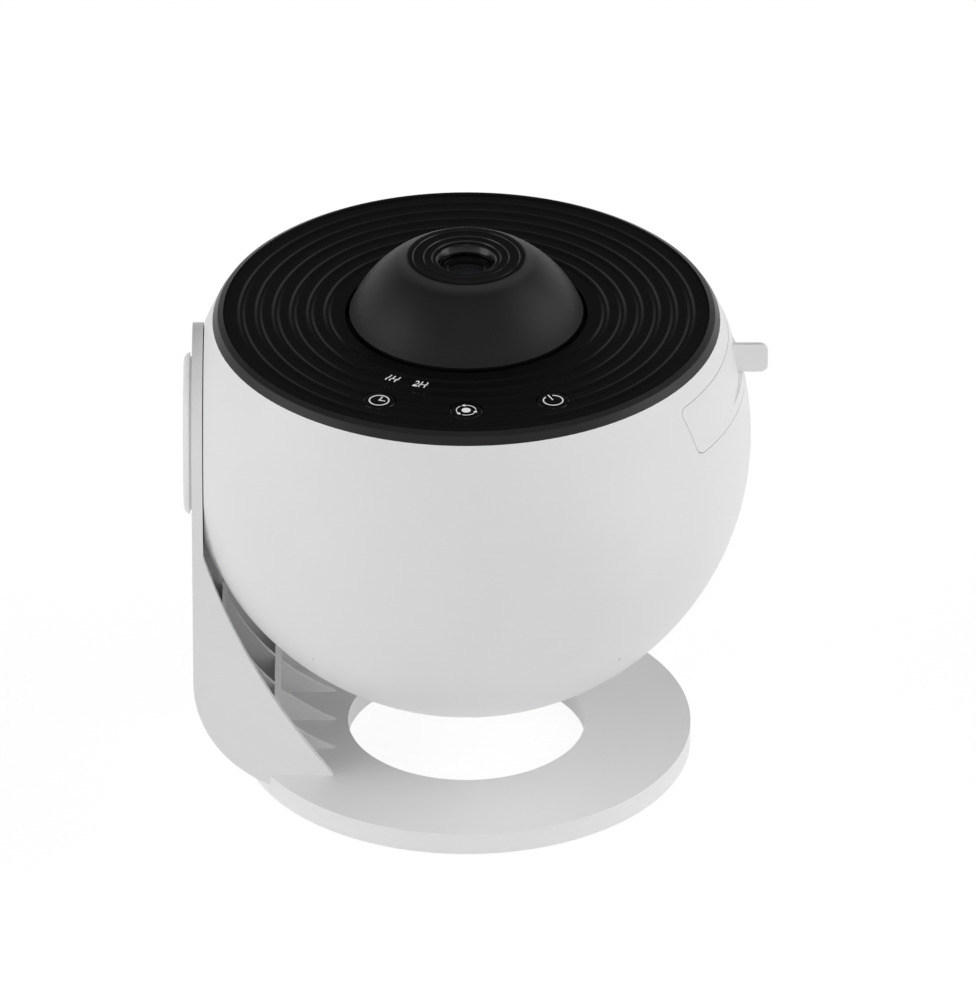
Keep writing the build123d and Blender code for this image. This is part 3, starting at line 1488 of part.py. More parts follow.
with BuildPart() as battery_cradle:
    cradle_outer = cell_radius + cell_gap + cradle_wall
    cradle_top_z = chassis_bottom_z
    with BuildSketch(cell_plane.offset(-cradle_wall - cell_end_gap)):
        with Locations((cell_y, pivot_height + (cell_z + cradle_top_z) / 2)):
            Rectangle(2 * cradle_outer, cradle_top_z - cell_z)
    extrude(amount=cell_length + 2 * (cradle_wall + cell_end_gap))
    with BuildSketch(cell_plane.offset(-cell_end_gap)):
        with Locations((cell_y, pivot_height + cell_z)):
            Circle(cell_radius + cell_gap)
    extrude(amount=cell_length + 2 * cell_end_gap, mode=Mode.SUBTRACT)
    with BuildSketch(level(cradle_top_z)):
        with Locations((0, cell_y)):
            Rectangle(cell_length - 2 * cradle_window_inset, 2 * cradle_outer - 2 * cradle_wall)
    extrude(amount=-(cradle_top_z - cell_z - cell_radius - cradle_window_gap), mode=Mode.SUBTRACT)
battery_cradle.part.label = "battery_cradle"

with BuildPart() as usb_board:
    with BuildSketch(ball_section.offset(-usb_board_y)):
        RectangleRounded(usb_board_size[0], usb_board_size[2], usb_board_corner)
        with GridLocations(2 * usb_boss_x, 0, 2, 1):
            Circle(small_screw_radius + screw_clear, mode=Mode.SUBTRACT)
    extrude(amount=-usb_board_size[1])
usb_board.part.label = "usb_board"

with BuildPart() as usb_socket:
    with BuildSketch(ball_section.offset(-usb_front_y)):
        RectangleRounded(usb_size[0], usb_size[2], usb_size[2] / 2 - round_end_gap)
    extrude(amount=-usb_size[1])
    with BuildSketch(ball_section.offset(-usb_front_y - usb_size[1])):
        RectangleRounded(
            usb_size[0] - 2 * usb_wall,
            usb_size[2] - 2 * usb_wall,
            usb_size[2] / 2 - usb_wall - round_end_gap,
        )
        Rectangle(*usb_tongue, mode=Mode.SUBTRACT)
    extrude(amount=usb_depth, mode=Mode.SUBTRACT)
usb_socket.part.label = "usb_socket"

with BuildPart() as usb_screws:
    with Locations(Location((0, usb_board_y, pivot_height), (90, 0, 0))):
        with GridLocations(2 * usb_boss_x, 0, 2, 1):
            add(small_screw)
usb_screws.part.label = "usb_screws"

# ---------------------------------------------------------------- files

pieces = [
    stand_bracket, foot_pad, hub_cap, pivot_bolt, pivot_washer, spring_washer, pivot_nut,
    friction_disc, body_shell, bezel_ring, top_panel, key_board, key_switches, key_board_screws,
    chassis, lens_deck, deck_screws, shell_screws, bezel_screws, lens_guide, guide_screws,
    snap_ring, focus_dome, lens_insert, lens_barrel, cam_pins, front_lens, rear_lens,
    lens_clamps, lamp_tube, lamp_screws, condenser_lens, led_board, lamp_led, heat_sink,
    sink_screws, drawer_tray, drawer_front, front_screws, disc_carrier, film_disc, disc_clip,
    drive_motor, motor_screws, motor_shaft, drive_pinion, main_board, board_parts,
    board_spacers, board_screws, battery_cell, battery_cradle, usb_board, usb_socket, usb_screws,
]
os.makedirs("parts", exist_ok=True)
for solid in [piece.part for piece in pieces] + key_parts:
    export_step(solid, f"parts/{solid.label}.step")
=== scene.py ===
import json
from math import cos, pi, radians, sin

import bmesh
import bpy
from mathutils import Matrix, Vector


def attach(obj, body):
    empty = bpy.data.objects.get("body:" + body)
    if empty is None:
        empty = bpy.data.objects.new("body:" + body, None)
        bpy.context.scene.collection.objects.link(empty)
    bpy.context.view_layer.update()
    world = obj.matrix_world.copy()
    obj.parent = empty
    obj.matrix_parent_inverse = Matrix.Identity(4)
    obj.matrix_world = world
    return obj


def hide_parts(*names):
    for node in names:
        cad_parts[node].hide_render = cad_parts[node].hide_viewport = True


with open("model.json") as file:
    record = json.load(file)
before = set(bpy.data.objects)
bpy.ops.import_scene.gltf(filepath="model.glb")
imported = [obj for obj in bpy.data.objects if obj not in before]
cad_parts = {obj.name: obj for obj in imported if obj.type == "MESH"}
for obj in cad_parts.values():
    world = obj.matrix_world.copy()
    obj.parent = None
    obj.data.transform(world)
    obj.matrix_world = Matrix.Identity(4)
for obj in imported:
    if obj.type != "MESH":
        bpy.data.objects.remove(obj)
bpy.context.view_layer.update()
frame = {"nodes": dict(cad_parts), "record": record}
nodes = frame["nodes"]
pivotHeight = 96.0  # mm, the ball's centre above the table; pieces are drawn in mm from that centre
millimetre = 0.001  # m
mergeDistance = 0.0005  # mm

cameraSettings = {
    "elevation": 30.03,      # degrees above the table
    "distance": 4.9164,      # m from the ball's centre
    "lens": 658.4,           # mm, long enough to be almost parallel
    "aimRight": 0.0058,      # m, the frame's middle from the ball's centre
    "aimDown": 0.0180,
    "clip": (0.1, 60),
}


def placeCamera(s):
    tilt = radians(s["elevation"])
    forward = Vector((0, cos(tilt), -sin(tilt)))
    upward = Vector((0, sin(tilt), cos(tilt)))
    aim = Vector((s["aimRight"], 0, pivotHeight / 1000)) - upward * s["aimDown"]
    data = bpy.data.cameras.new("camera")
    data.lens = s["lens"]
    data.clip_start, data.clip_end = s["clip"]
    camera = bpy.data.objects.new("camera", data)
    camera.location = aim - forward * s["distance"]
    camera.rotation_euler = (pi / 2 - tilt, 0, 0)
    bpy.context.scene.collection.objects.link(camera)
    bpy.context.scene.camera = camera


placeCamera(cameraSettings)
print("stage: camera placed")


class Wire:  # a shader socket that can stand in a sum
    def __init__(self, finish, socket):
        self.finish = finish
        self.socket = socket

    def __add__(self, other):
        return self.finish.math("ADD", self, other)

    def __radd__(self, other):
        return self.finish.math("ADD", other, self)

    def __sub__(self, other):
        return self.finish.math("SUBTRACT", self, other)

    def __rsub__(self, other):
        return self.finish.math("SUBTRACT", other, self)

    def __mul__(self, other):
        return self.finish.math("MULTIPLY", self, other)

    def __rmul__(self, other):
        return self.finish.math("MULTIPLY", other, self)

    def __gt__(self, other):
        return self.finish.math("GREATER_THAN", self, other)

    def __lt__(self, other):
        return self.finish.math("LESS_THAN", self, other)


class Finish:  # one material, or the world, and the way its nodes are made
    def __init__(self, name, owner=None):
        self.owner = owner or bpy.data.materials.new(name)
        self.owner.use_nodes = True
        self.tree = self.owner.node_tree
        self.tree.nodes.clear()

    def node(self, kind, settings=None, values=None, out=0):
        made = self.tree.nodes.new(kind)
        for key, value in (settings or {}).items():
            setattr(made, key, value)
        for key, value in (values or {}).items():
            if isinstance(value, Wire):
                self.tree.links.new(value.socket, made.inputs[key])
            else:
                made.inputs[key].default_value = value
        return Wire(self, made.outputs[out]) if len(made.outputs) else None

    def math(self, operation, *values):
        return self.node("ShaderNodeMath", {"operation": operation}, dict(enumerate(values)))

    def soften(self, value, low, high):
        return self.node(
            "ShaderNodeMapRange", {"interpolation_type": "SMOOTHSTEP"},
            {"Value": value, "From Min": low, "From Max": high})

    def place(self):
        return self.node("ShaderNodeTexCoord", out="Object")

    def split(self, vector):
        made = self.node("ShaderNodeSeparateXYZ", values={0: vector})
        return [Wire(self, socket) for socket in made.socket.node.outputs]

    def noise(self, scale, detail=2.0, rough=0.5):
        return self.node("ShaderNodeTexNoise", values={
            "Vector": self.place(), "Scale": scale, "Detail": detail, "Roughness": rough})

    def cells(self, scale, randomness=1.0):
        return self.node("ShaderNodeTexVoronoi", {"feature": "F1"}, {
            "Vector": self.place(), "Scale": scale, "Randomness": randomness}, "Distance")

    def mixColour(self, factor, first, second):
        # the mix node's colours are its inputs 6 and 7 and its output 2
        return self.node(
            "ShaderNodeMix", {"data_type": "RGBA"}, {"Factor": factor, 6: first, 7: second}, 2)

    def bump(self, height, strength, distance, under=None):
        values = {"Height": height, "Strength": strength, "Distance": distance}
        if under:
            values["Normal"] = under
        return self.node("ShaderNodeBump", values=values)

    def skin(self, values):
        shader = self.node("ShaderNodeBsdfPrincipled", values=values)
        self.node("ShaderNodeOutputMaterial", values={"Surface": shader})
        return self.owner


def grey(level):
    return (level, level, level, 1)


# In the finishes below a Scale counts per metre, a Bump is a share and a Depth is in metres.
whiteSettings = {
    "light": grey(0.97), "shade": grey(0.94), "cloudScale": 22, "cloudEnds": (0.3, 0.7),
    "roughness": 0.37, "roughVary": 0.10,
    "patchScale": 160, "patchBump": 0.10, "patchDepth": 0.0001,
    "grainScale": 2600, "grainBump": 0.22, "grainDepth": 0.00001,  # spark-eroded mould grain
}


def whitePlastic(name, s, offset=0.0):
    f = Finish(name)
    cloud = f.noise(s["cloudScale"] + offset, 3.0)
    patch = f.noise(s["patchScale"] + offset)
    grain = f.noise(s["grainScale"], rough=0.6)
    sink = f.bump(patch, s["patchBump"], s["patchDepth"])
    return f.skin({
        "Base Color": f.mixColour(f.soften(cloud, *s["cloudEnds"]), s["shade"], s["light"]),
        "Roughness": s["roughness"] + patch * s["roughVary"],
        "Normal": f.bump(grain, s["grainBump"], s["grainDepth"], sink),
    })


darkSettings = {"cloudScale": 60, "toneVary": 0.15, "roughVary": 0.12, "grainBump": 0.35}


def darkPlastic(name, level, roughness, grainScale=1900, depth=0.00003, specular=0.5, paintedSheen=None):
    f = Finish(name)
    s = darkSettings
    cloud = f.noise(s["cloudScale"], 3.0)
    grain = f.noise(grainScale, 3.0, 0.65)
    tone = f.mixColour(cloud, grey(level * (1 - s["toneVary"])), grey(level * (1 + s["toneVary"])))
    if paintedSheen:
        # painted sheen: a paler band along the top edge stands in for the edge's highlight
        x, y, z = f.split(f.place())
        height = z * 1000 - pivotHeight  # mm
        tone = f.mixColour(f.soften(height, *paintedSheen["heights"]), tone, grey(paintedSheen["level"]))
    return f.skin({
        "Base Color": tone,
        "Roughness": roughness - s["roughVary"] / 2 + cloud * s["roughVary"],
        "Specular IOR Level": specular,
        "Normal": f.bump(grain, s["grainBump"], depth),
    })


glossSettings = {
    "smearScale": 90, "smearRough": 0.08, "waveScale": 220, "waveBump": 0.08, "waveDepth": 0.00005,
    "dustScale": 2400, "dustSize": 0.07, "keepScale": 300, "keepOver": 0.62,
    "dustPale": 0.02, "dustRough": 0.25,
}


def glossPlastic(name, level, roughness, specular):
    f = Finish(name)
    s = glossSettings
    smear = f.noise(s["smearScale"], 4.0, 0.6)
    dust = f.cells(s["dustScale"]) < s["dustSize"]
    keep = f.noise(s["keepScale"], 1.0) > s["keepOver"]
    speck = dust * keep
    return f.skin({
        "Base Color": f.mixColour(speck, grey(level), grey(level + s["dustPale"])),
        "Roughness": roughness + smear * s["smearRough"] + speck * s["dustRough"],
        "Specular IOR Level": specular,
        "Normal": f.bump(f.noise(s["waveScale"], 1.0), s["waveBump"], s["waveDepth"]),
    })


rubberSettings = {
    "dark": grey(0.035), "pale": grey(0.06), "mottleScale": 80,
    "roughness": 0.72, "roughScale": 400, "roughVary": 0.2,
    "weaveScale": 1500, "weaveBump": 0.5, "weaveDepth": 0.0001,
}


def rubberFinish(s):
    f = Finish("rubberFinish")
    return f.skin({
        "Base Color": f.mixColour(f.noise(s["mottleScale"]), s["dark"], s["pale"]),
        "Roughness": s["roughness"] + f.noise(s["roughScale"]) * s["roughVary"],
        "Normal": f.bump(f.cells(s["weaveScale"]), s["weaveBump"], s["weaveDepth"]),
    })


nylonSettings = {
    "shade": (0.70, 0.68, 0.62, 1), "light": (0.80, 0.79, 0.74, 1), "cloudScale": 70,
    "roughness": 0.40, "roughVary": 0.15, "glow": 0.1, "glowDepth": 0.001,
    "grainScale": 2200, "grainBump": 0.2, "grainDepth": 0.00002,
}


def nylonFinish(s):
    f = Finish("nylonFinish")
    cloud = f.noise(s["cloudScale"], 3.0)
    return f.skin({
        "Base Color": f.mixColour(cloud, s["shade"], s["light"]),
        "Roughness": s["roughness"] + cloud * s["roughVary"],
        "Subsurface Weight": s["glow"],
        "Subsurface Scale": s["glowDepth"],
        "Normal": f.bump(f.noise(s["grainScale"]), s["grainBump"], s["grainDepth"]),
    })


turnedSettings = {
    "lines": 4000, "lineBump": 0.25, "lineDepth": 0.00002,
    "smearScale": 500, "smearDark": 0.9, "roughVary": 0.14,
}


def fromAxis(f):
    x, y, z = f.split(f.place())
    return f.math("SQRT", x * x + y * y), z


def turnedMetal(name, colour, roughness):
    f = Finish(name)
    s = turnedSettings
    radius, z = fromAxis(f)
    rings = f.math("SINE", (radius + z) * s["lines"] * 2 * pi)
    smear = f.noise(s["smearScale"], 3.0)
    dark = (*(s["smearDark"] * c for c in colour), 1)
    return f.skin({
        "Base Color": f.mixColour(smear, dark, (*colour, 1)),
        "Metallic": 1.0,
        "Roughness": roughness + smear * s["roughVary"],
        "Normal": f.bump(rings + smear, s["lineBump"], s["lineDepth"]),
    })


plainSettings = {
    "stainScale": 120, "stainDark": 0.82, "roughVary": 0.18, "scuffBump": 0.2, "scuffDepth": 0.00002,
}


def plainMetal(name, colour, roughness, scale=1400):
    f = Finish(name)
    s = plainSettings
    scuff = f.noise(scale, 4.0, 0.7)
    dark = (*(s["stainDark"] * c for c in colour), 1)
    return f.skin({
        "Base Color": f.mixColour(f.noise(s["stainScale"]), dark, (*colour, 1)),
        "Metallic": 1.0,
        "Roughness": roughness + scuff * s["roughVary"],
        "Normal": f.bump(scuff, s["scuffBump"], s["scuffDepth"]),
    })


glassSettings = {
    "tint": (0.97, 0.98, 1.0, 1), "roughness": 0.02, "index": 1.5,
    "dustScale": 3000, "dustSize": 0.05, "dustRough": 0.2,
    "coat": 0.4, "coatTint": (0.75, 0.82, 1.0, 1),
}


def lensGlass(s):
    f = Finish("lensGlass")
    return f.skin({
        "Base Color": s["tint"],
        "Roughness": s["roughness"] + (f.cells(s["dustScale"]) < s["dustSize"]) * s["dustRough"],
        "Transmission Weight": 1.0,
        "IOR": s["index"],
        "Coat Weight": s["coat"],
        "Coat Tint": s["coatTint"],
    })


filmSettings = {
    "night": (0.004, 0.006, 0.02, 1), "haze": (0.10, 0.12, 0.32, 1), "star": (0.85, 0.88, 0.95, 1),
    "skyScale": 90, "bandScale": 28, "bandSlope": 9, "bandEnds": (0.45, 0.75),
    "fineScale": 1400, "fineSize": 0.13, "sizeScale": 260, "boldScale": 420, "boldSize": 0.055,
    "roughness": 0.16, "roughVary": 0.08, "coat": 0.3,
}


def filmFinish(s):
    f = Finish("filmFinish")
    x, y, z = f.split(f.place())
    sky = f.noise(s["skyScale"], 6.0, 0.65)
    band = f.soften(f.noise(s["bandScale"], 3.0) + (x + y) * s["bandSlope"], *s["bandEnds"])
    fine = f.cells(s["fineScale"]) < s["fineSize"] * f.noise(s["sizeScale"], 1.0)
    bold = f.cells(s["boldScale"]) < s["boldSize"]
    glow = f.mixColour(sky * band, s["night"], s["haze"])
    return f.skin({
        "Base Color": f.mixColour(f.math("MAXIMUM", fine, bold), glow, s["star"]),
        "Roughness": s["roughness"] + sky * s["roughVary"],
        "Coat Weight": s["coat"],
    })


boardSettings = {
    "tracks": {"Scale": 260.0, "Mortar Size": 0.035, "Brick Width": 0.9, "Row Height": 0.4},
    "trackShare": 0.6, "holeScale": 300, "holeSize": 0.16, "holeMetal": 0.8,
    "roughness": 0.38, "roughScale": 300, "roughVary": 0.12, "bump": 0.3, "depth": 0.00003,
}


def boardFinish(name, mask, track):
    f = Finish(name)
    s = boardSettings
    lines = f.node("ShaderNodeTexBrick", {"offset": 0.5}, {
        "Vector": f.place(), "Color1": grey(0), "Color2": grey(0), "Mortar": grey(1), **s["tracks"]})
    holes = f.cells(s["holeScale"], randomness=0.0) < s["holeSize"]
    copper = f.math("MAXIMUM", lines * s["trackShare"], holes)
    return f.skin({
        "Base Color": f.mixColour(copper, mask, track),
        "Metallic": holes * s["holeMetal"],
        "Roughness": s["roughness"] + f.noise(s["roughScale"]) * s["roughVary"],
        "Normal": f.bump(copper, s["bump"], s["depth"]),
    })


ledSettings = {
    "body": (0.86, 0.86, 0.84, 1), "die": (0.85, 0.62, 0.10, 1), "dieRadius": 0.0026,
    "roughness": 0.22, "roughScale": 900, "roughVary": 0.1, "coat": 0.5,
}


def ledFinish(s):
    f = Finish("ledFinish")
    across, z = fromAxis(f)
    return f.skin({
        "Base Color": f.mixColour(across < s["dieRadius"], s["body"], s["die"]),
        "Roughness": s["roughness"] + f.noise(s["roughScale"]) * s["roughVary"],
        "Coat Weight": s["coat"],
    })


cellSettings = {
    "sleeve": (0.03, 0.12, 0.34, 1), "ends": (0.02, 0.02, 0.02, 1), "sleeveEnds": (0.0215, 0.0218),
    "roughness": 0.30, "roughVary": 0.15, "coat": 0.4,
    "rippleScale": 260, "rippleBump": 0.15, "rippleDepth": 0.0001,
}


def cellFinish(s):
    f = Finish("cellFinish")
    x, y, z = f.split(f.place())
    ripple = f.noise(s["rippleScale"], 3.0)
    return f.skin({
        "Base Color": f.mixColour(
            f.soften(f.math("ABSOLUTE", x), *s["sleeveEnds"]), s["sleeve"], s["ends"]),
        "Roughness": s["roughness"] + ripple * s["roughVary"],
        "Coat Weight": s["coat"],
        "Normal": f.bump(ripple, s["rippleBump"], s["rippleDepth"]),
    })


printSettings = {
    "dark": grey(0.74), "pale": grey(0.86), "inkScale": 1800, "roughness": 0.5, "roughVary": 0.1,
    "glow": 0.26,  # painted glow: the print gives off a little light of its own so that it reads brighter
}


def printFinish(s):
    f = Finish("printFinish")
    ink = f.noise(s["inkScale"])
    return f.skin({
        "Base Color": f.mixColour(ink, s["dark"], s["pale"]),
        "Roughness": s["roughness"] + ink * s["roughVary"],
        # painted glow on the print, though it is no lamp
        "Emission Color": grey(1.0),
        "Emission Strength": s["glow"],
    })


# painted sheen on the dome's top edge: heights in mm over the ball's centre, and the paler level that
# stands in for the edge's highlight
domePaintedSheen = {"heights": (52.6, 54.2), "level": 0.036}
white = whitePlastic("whiteShell", whiteSettings)
whiteStand = whitePlastic("whiteStand", whiteSettings, offset=3.0)
matteBlack = darkPlastic("matteBlack", level=0.022, roughness=0.50)
domeBlack = darkPlastic(
    "domeBlack", level=0.011, roughness=0.46, grainScale=2400, depth=0.00002, specular=0.22,
    paintedSheen=domePaintedSheen)
bezelBlack = darkPlastic(
    "bezelBlack", level=0.018, roughness=0.36, grainScale=2600, depth=0.00001, specular=0.28)
panelBlack = glossPlastic("panelBlack", level=0.0045, roughness=0.22, specular=0.26)
insertBlack = glossPlastic("insertBlack", level=0.004, roughness=0.16, specular=0.40)
keyBlack = glossPlastic("keyBlack", level=0.004, roughness=0.12, specular=0.35)
iconWhite = printFinish(printSettings)

slotFinish = {
    "white_abs": white,
    "black_abs": matteBlack,
    "dark_bezel_plastic": bezelBlack,
    "gloss_black_acrylic": panelBlack,
    "rubber": rubberFinish(rubberSettings),
    "nylon": nylonFinish(nylonSettings),
    "aluminium": turnedMetal("turnedAluminium", (0.62, 0.63, 0.64), roughness=0.28),
    "steel": plainMetal("screwSteel", (0.58, 0.58, 0.60), roughness=0.24),
    "motor_steel": plainMetal("motorCan", (0.52, 0.52, 0.53), roughness=0.32, scale=600),
    "glass": lensGlass(glassSettings),
    "film": filmFinish(filmSettings),
    "circuit_board": boardFinish(
        "greenBoard", mask=(0.01, 0.12, 0.045, 1), track=(0.10, 0.30, 0.12, 1)),
    "metal_core_board": boardFinish(
        "whiteBoard", mask=(0.78, 0.78, 0.76, 1), track=(0.62, 0.60, 0.52, 1)),
    "chip_plastic": darkPlastic("chipPlastic", level=0.02, roughness=0.55),
    "led": ledFinish(ledSettings),
    "cell": cellFinish(cellSettings),
}
nodeFinish = {
    "stand_bracket": whiteStand,
    "hub_cap": whiteStand,
    "focus_dome": domeBlack,
    "lens_insert": insertBlack,
    "timer_key": keyBlack,
    "rotation_key": keyBlack,
    "power_key": keyBlack,
    "lens_barrel": turnedMetal("blackBarrel", (0.03, 0.03, 0.03), roughness=0.35),
    "lens_clamps": turnedMetal("blackClamps", (0.05, 0.05, 0.05), roughness=0.30),
}

for part in frame["record"]["subparts"]:
    name = part["node"]
    mesh = nodes[name].data
    mesh.materials.clear()
    mesh.materials.append(nodeFinish.get(name, slotFinish[part["material_slot"]]))
print("stage: finishes on", len(nodes), "nodes")


def toFrame(bm):  # from mm round the ball's centre to the frame's metres above the table
    bmesh.ops.translate(bm, verts=bm.verts, vec=(0, 0, pivotHeight))
    bmesh.ops.scale(bm, verts=bm.verts, vec=(millimetre, millimetre, millimetre))


def addObject(name, data):
    made = bpy.data.objects.new(name, data)
    bpy.context.scene.collection.objects.link(made)
    return made


def meshFrom(name, bm):
    mesh = bpy.data.meshes.new(name)
    bm.to_mesh(mesh)
    bm.free()
    return mesh


def addPiece(name, bm, finish, body, stands=(), sharp=35):
    bmesh.ops.remove_doubles(bm, verts=bm.verts, dist=mergeDistance)
    bmesh.ops.recalc_face_normals(bm, faces=bm.faces)
    toFrame(bm)
    mesh = meshFrom(name, bm)
    mesh.shade_smooth()
    mesh.set_sharp_from_angle(angle=radians(sharp))
    mesh.materials.append(finish)
    piece = addObject(name, mesh)
    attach(piece, body)
    if stands:
        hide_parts(*stands)
    return piece


def lathe(corners, steps=180, reshape=None):
    # each corner is a radius, a height and the size of its rounding
    bm = bmesh.new()
    verts = [bm.verts.new((radius, 0, height)) for radius, height, rounding in corners]
    bm.faces.new(verts)
    for vert, (radius, height, rounding) in zip(verts, corners):
        if rounding:
            bmesh.ops.bevel(
                bm, geom=[vert], offset=rounding, offset_type="OFFSET", affect="VERTICES",
                segments=4, profile=0.5, material=-1)
    bmesh.ops.delete(bm, geom=bm.faces[:], context="FACES_ONLY")
    onAxis = [edge for edge in bm.edges if max(abs(vert.co.x) for vert in edge.verts) < 0.0001]
    bmesh.ops.delete(bm, geom=onAxis, context="EDGES")
    if reshape:
        reshape(bm)
    bmesh.ops.spin(
        bm, geom=bm.verts[:] + bm.edges[:], cent=(0, 0, 0), axis=(0, 0, 1), angle=2 * pi,
        steps=steps, use_merge=True)
    return bm


panelShape = {
    "outer": 65.05, "well": 32.5, "top": 37.2, "thickness": 2.0, "edge": 0.15, "sharp": 50,
    "rippleStart": 37.3, "ripplePitch": 4.6, "rippleCount": 6, "rippleWidth": 2.8, "rippleHeight": 0.32,
    "steps": 160, "cuts": 320, "topLimit": 37.19,
    "keyCircle": 52.9, "keySpread": 25.9, "keyHole": 4.55, "holeSteps": 96,
}


def rippleLift(s, radius):  # how far a ridge stands over the flat at this radius
    wave = round((radius - s["rippleStart"]) / s["ripplePitch"])
    wave = min(max(wave, 0), s["rippleCount"] - 1)
    away = (radius - s["rippleStart"] - wave * s["ripplePitch"]) / s["rippleWidth"]
    return s["rippleHeight"] * (1 + cos(2 * pi * away)) / 2 if abs(away) < 0.5 else 0


def ripplesOn(s):
    halfWidth = (s["outer"] - s["well"]) / 2

    def reshape(bm):
        top = [
            edge for edge in bm.edges
            if edge.calc_length() > halfWidth and min(v.co.z for v in edge.verts) > s["topLimit"]]
        bmesh.ops.subdivide_edges(bm, edges=top, cuts=s["cuts"])
        for vert in bm.verts:
            if vert.co.z > s["topLimit"]:
                vert.co.z += rippleLift(s, vert.co.x)
    return reshape


def cutHoles(piece, cutter):
    change = piece.modifiers.new("holes", "BOOLEAN")
    change.object = cutter
    change.solver = "EXACT"
    bpy.context.view_layer.update()
    graph = bpy.context.evaluated_depsgraph_get()
    done = bpy.data.meshes.new_from_object(piece.evaluated_get(graph))
    piece.modifiers.clear()
    piece.data = done
    bpy.data.objects.remove(cutter)


def keyTurn(s, index):  # degrees from the middle key
    return s["keySpread"] * (index - 1)


def keyPlace(s, index):
    turn = radians(-90 + keyTurn(s, index))
    return Vector((s["keyCircle"] * cos(turn), s["keyCircle"] * sin(turn), 0))


def makePanel(s):
    bottom = s["top"] - s["thickness"]
    corners = [
        (s["outer"], s["top"], s["edge"]),
        (s["well"], s["top"], s["edge"]),
        (s["well"], bottom, 0),
        (s["outer"], bottom, 0),
    ]
    panel = addPiece(
        "ripplePanel", lathe(corners, s["steps"], ripplesOn(s)), panelBlack, "ball",
        ["top_panel"], s["sharp"])
    bm = bmesh.new()
    middle = Vector((0, 0, s["top"] - s["thickness"] / 2))
    for index in range(3):
        bmesh.ops.create_cone(
            bm, cap_ends=True, segments=s["holeSteps"], radius1=s["keyHole"], radius2=s["keyHole"],
            depth=s["thickness"] * 2, matrix=Matrix.Translation(keyPlace(s, index) + middle))
    toFrame(bm)
    cutHoles(panel, addObject("keyHoles", meshFrom("keyHoles", bm)))


makePanel(panelShape)
print("stage: rippled panel")

insertShape = {
    "outer": 15.77, "top": 54.4, "steps": ((14.2, 0.1), (11.3, 0.2), (9.1, 0.3)),
    "cone": 7.9, "coneDepth": 1.9, "hole": 6.9, "floor": 2.4, "rim": 1.1, "depth": 3.6,
    "outerEdge": 0.1, "coneEdge": 0.5, "holeEdge": 0.2,
    "round": 0.28, "ridge": 0.12, "ridgeEdge": 0.08,
}


def makeInsert(s):
    height = s["top"]
    bottom = s["top"] - s["depth"]
    corners = [(s["outer"], bottom, 0), (s["outer"], height, s["outerEdge"])]
    for radius, fall in s["steps"]:
        # a fine raised lip runs along the edge of each step
        corners.append((radius + s["round"], height, 0))
        corners.append((radius + s["round"] / 2, height + s["ridge"], s["ridgeEdge"]))
        height -= fall
        corners.append((radius, height, min(s["round"], fall / 3)))
    corners += [
        (s["cone"], height, s["coneEdge"]),
        (s["hole"], height - s["coneDepth"], s["holeEdge"]),
        (s["hole"], height - s["floor"], 0),
        (s["outer"] - s["rim"], height - s["floor"], 0),
        (s["outer"] - s["rim"], bottom, 0),
    ]
    addPiece(
        "steppedInsert", lathe(corners), insertBlack, "focus",
        ["lens_insert"])


makeInsert(insertShape)

# the black stop ring on the front clamp, just above the lens
stopShape = {
    "outer": 10.9, "bottom": 50.8, "top": 51.0, "slope": 5.3, "inner": 4.7, "lip": 0.02, "edge": 0.05,
}


def makeStop(s):
    corners = [
        (s["outer"], s["bottom"], 0),
        (s["outer"], s["top"], s["edge"]),
        (s["slope"], s["top"], s["edge"]),
        (s["inner"], s["bottom"] + s["lip"], 0),
        (s["inner"], s["bottom"], 0),
    ]
    addPiece("lensStop", lathe(corners), insertBlack, "barrel")


makeStop(stopShape)
print("stage: lens insert and stop")

keyShape = {
    "radius": 4.4, "top": 37.3, "round": 0.42, "steps": 96,
    "collar": 5.6, "collarTop": 35.0, "collarBottom": 34.1, "collarEdge": 0.1,
}


def makeKey(name, node, index, s):
    bm = lathe([
        (0, s["top"], 0),
        (s["radius"], s["top"], s["round"]),
        (s["radius"], s["collarTop"], 0),
        (s["collar"], s["collarTop"], s["collarEdge"]),
        (s["collar"], s["collarBottom"], s["collarEdge"]),
        (0, s["collarBottom"], 0),
    ], s["steps"])
    bmesh.ops.translate(bm, verts=bm.verts, vec=keyPlace(panelShape, index))
    addPiece(name, bm, keyBlack, node, [node])


keyPieces = (("timerCap", "timer_key"), ("rotationCap", "rotation_key"), ("powerCap", "power_key"))
for index, (name, node) in enumerate(keyPieces):
    makeKey(name, node, index, keyShape)
print("stage: keys")

iconShape = {
    "ink": 0.03, "ring": 2.6, "stroke": 0.33,
    "hands": (((0, -0.2), (0, 2.1)), ((0.2, 0.05), (1.6, 0.3))),
    "arrowTurns": (113, 233, 353), "gap": 13.0, "arrow": 0.66, "arrowLead": 4, "thinner": 0.1,
    "dot": 1.22, "powerGap": 22, "powerBar": ((0, 0.2), (0, 3.1)),
}
markShape = {
    "ink": 0.03, "circle": 41.05, "turns": (28.9, 17.4), "size": 3.1, "stretch": 1.55, "slant": 0.1,
    "cuts": 11,
}


def arcStrip(bm, radius, stroke, start, sweep, steps):
    turn = Matrix.Rotation(radians(start), 3, "Z")
    sides = (radius - stroke / 2, radius + stroke / 2)
    ends = [bm.verts.new(turn @ Vector((side, 0, 0))) for side in sides]
    edge = bm.edges.new(ends)
    bmesh.ops.spin(
        bm, geom=ends + [edge], cent=(0, 0, 0), axis=(0, 0, 1), angle=radians(sweep),
        steps=steps, use_merge=abs(sweep) >= 360)


def barStrip(bm, start, end, stroke):
    start, end = Vector((*start, 0)), Vector((*end, 0))
    along = end - start
    turn = Matrix.Rotation(along.to_2d().angle_signed(Vector((1, 0))), 4, "Z")
    size = Matrix.Diagonal((along.length / 2, stroke / 2, 1, 1))
    place = Matrix.Translation((start + end) / 2) @ turn @ size
    bmesh.ops.create_grid(bm, x_segments=1, y_segments=1, size=1, matrix=place)


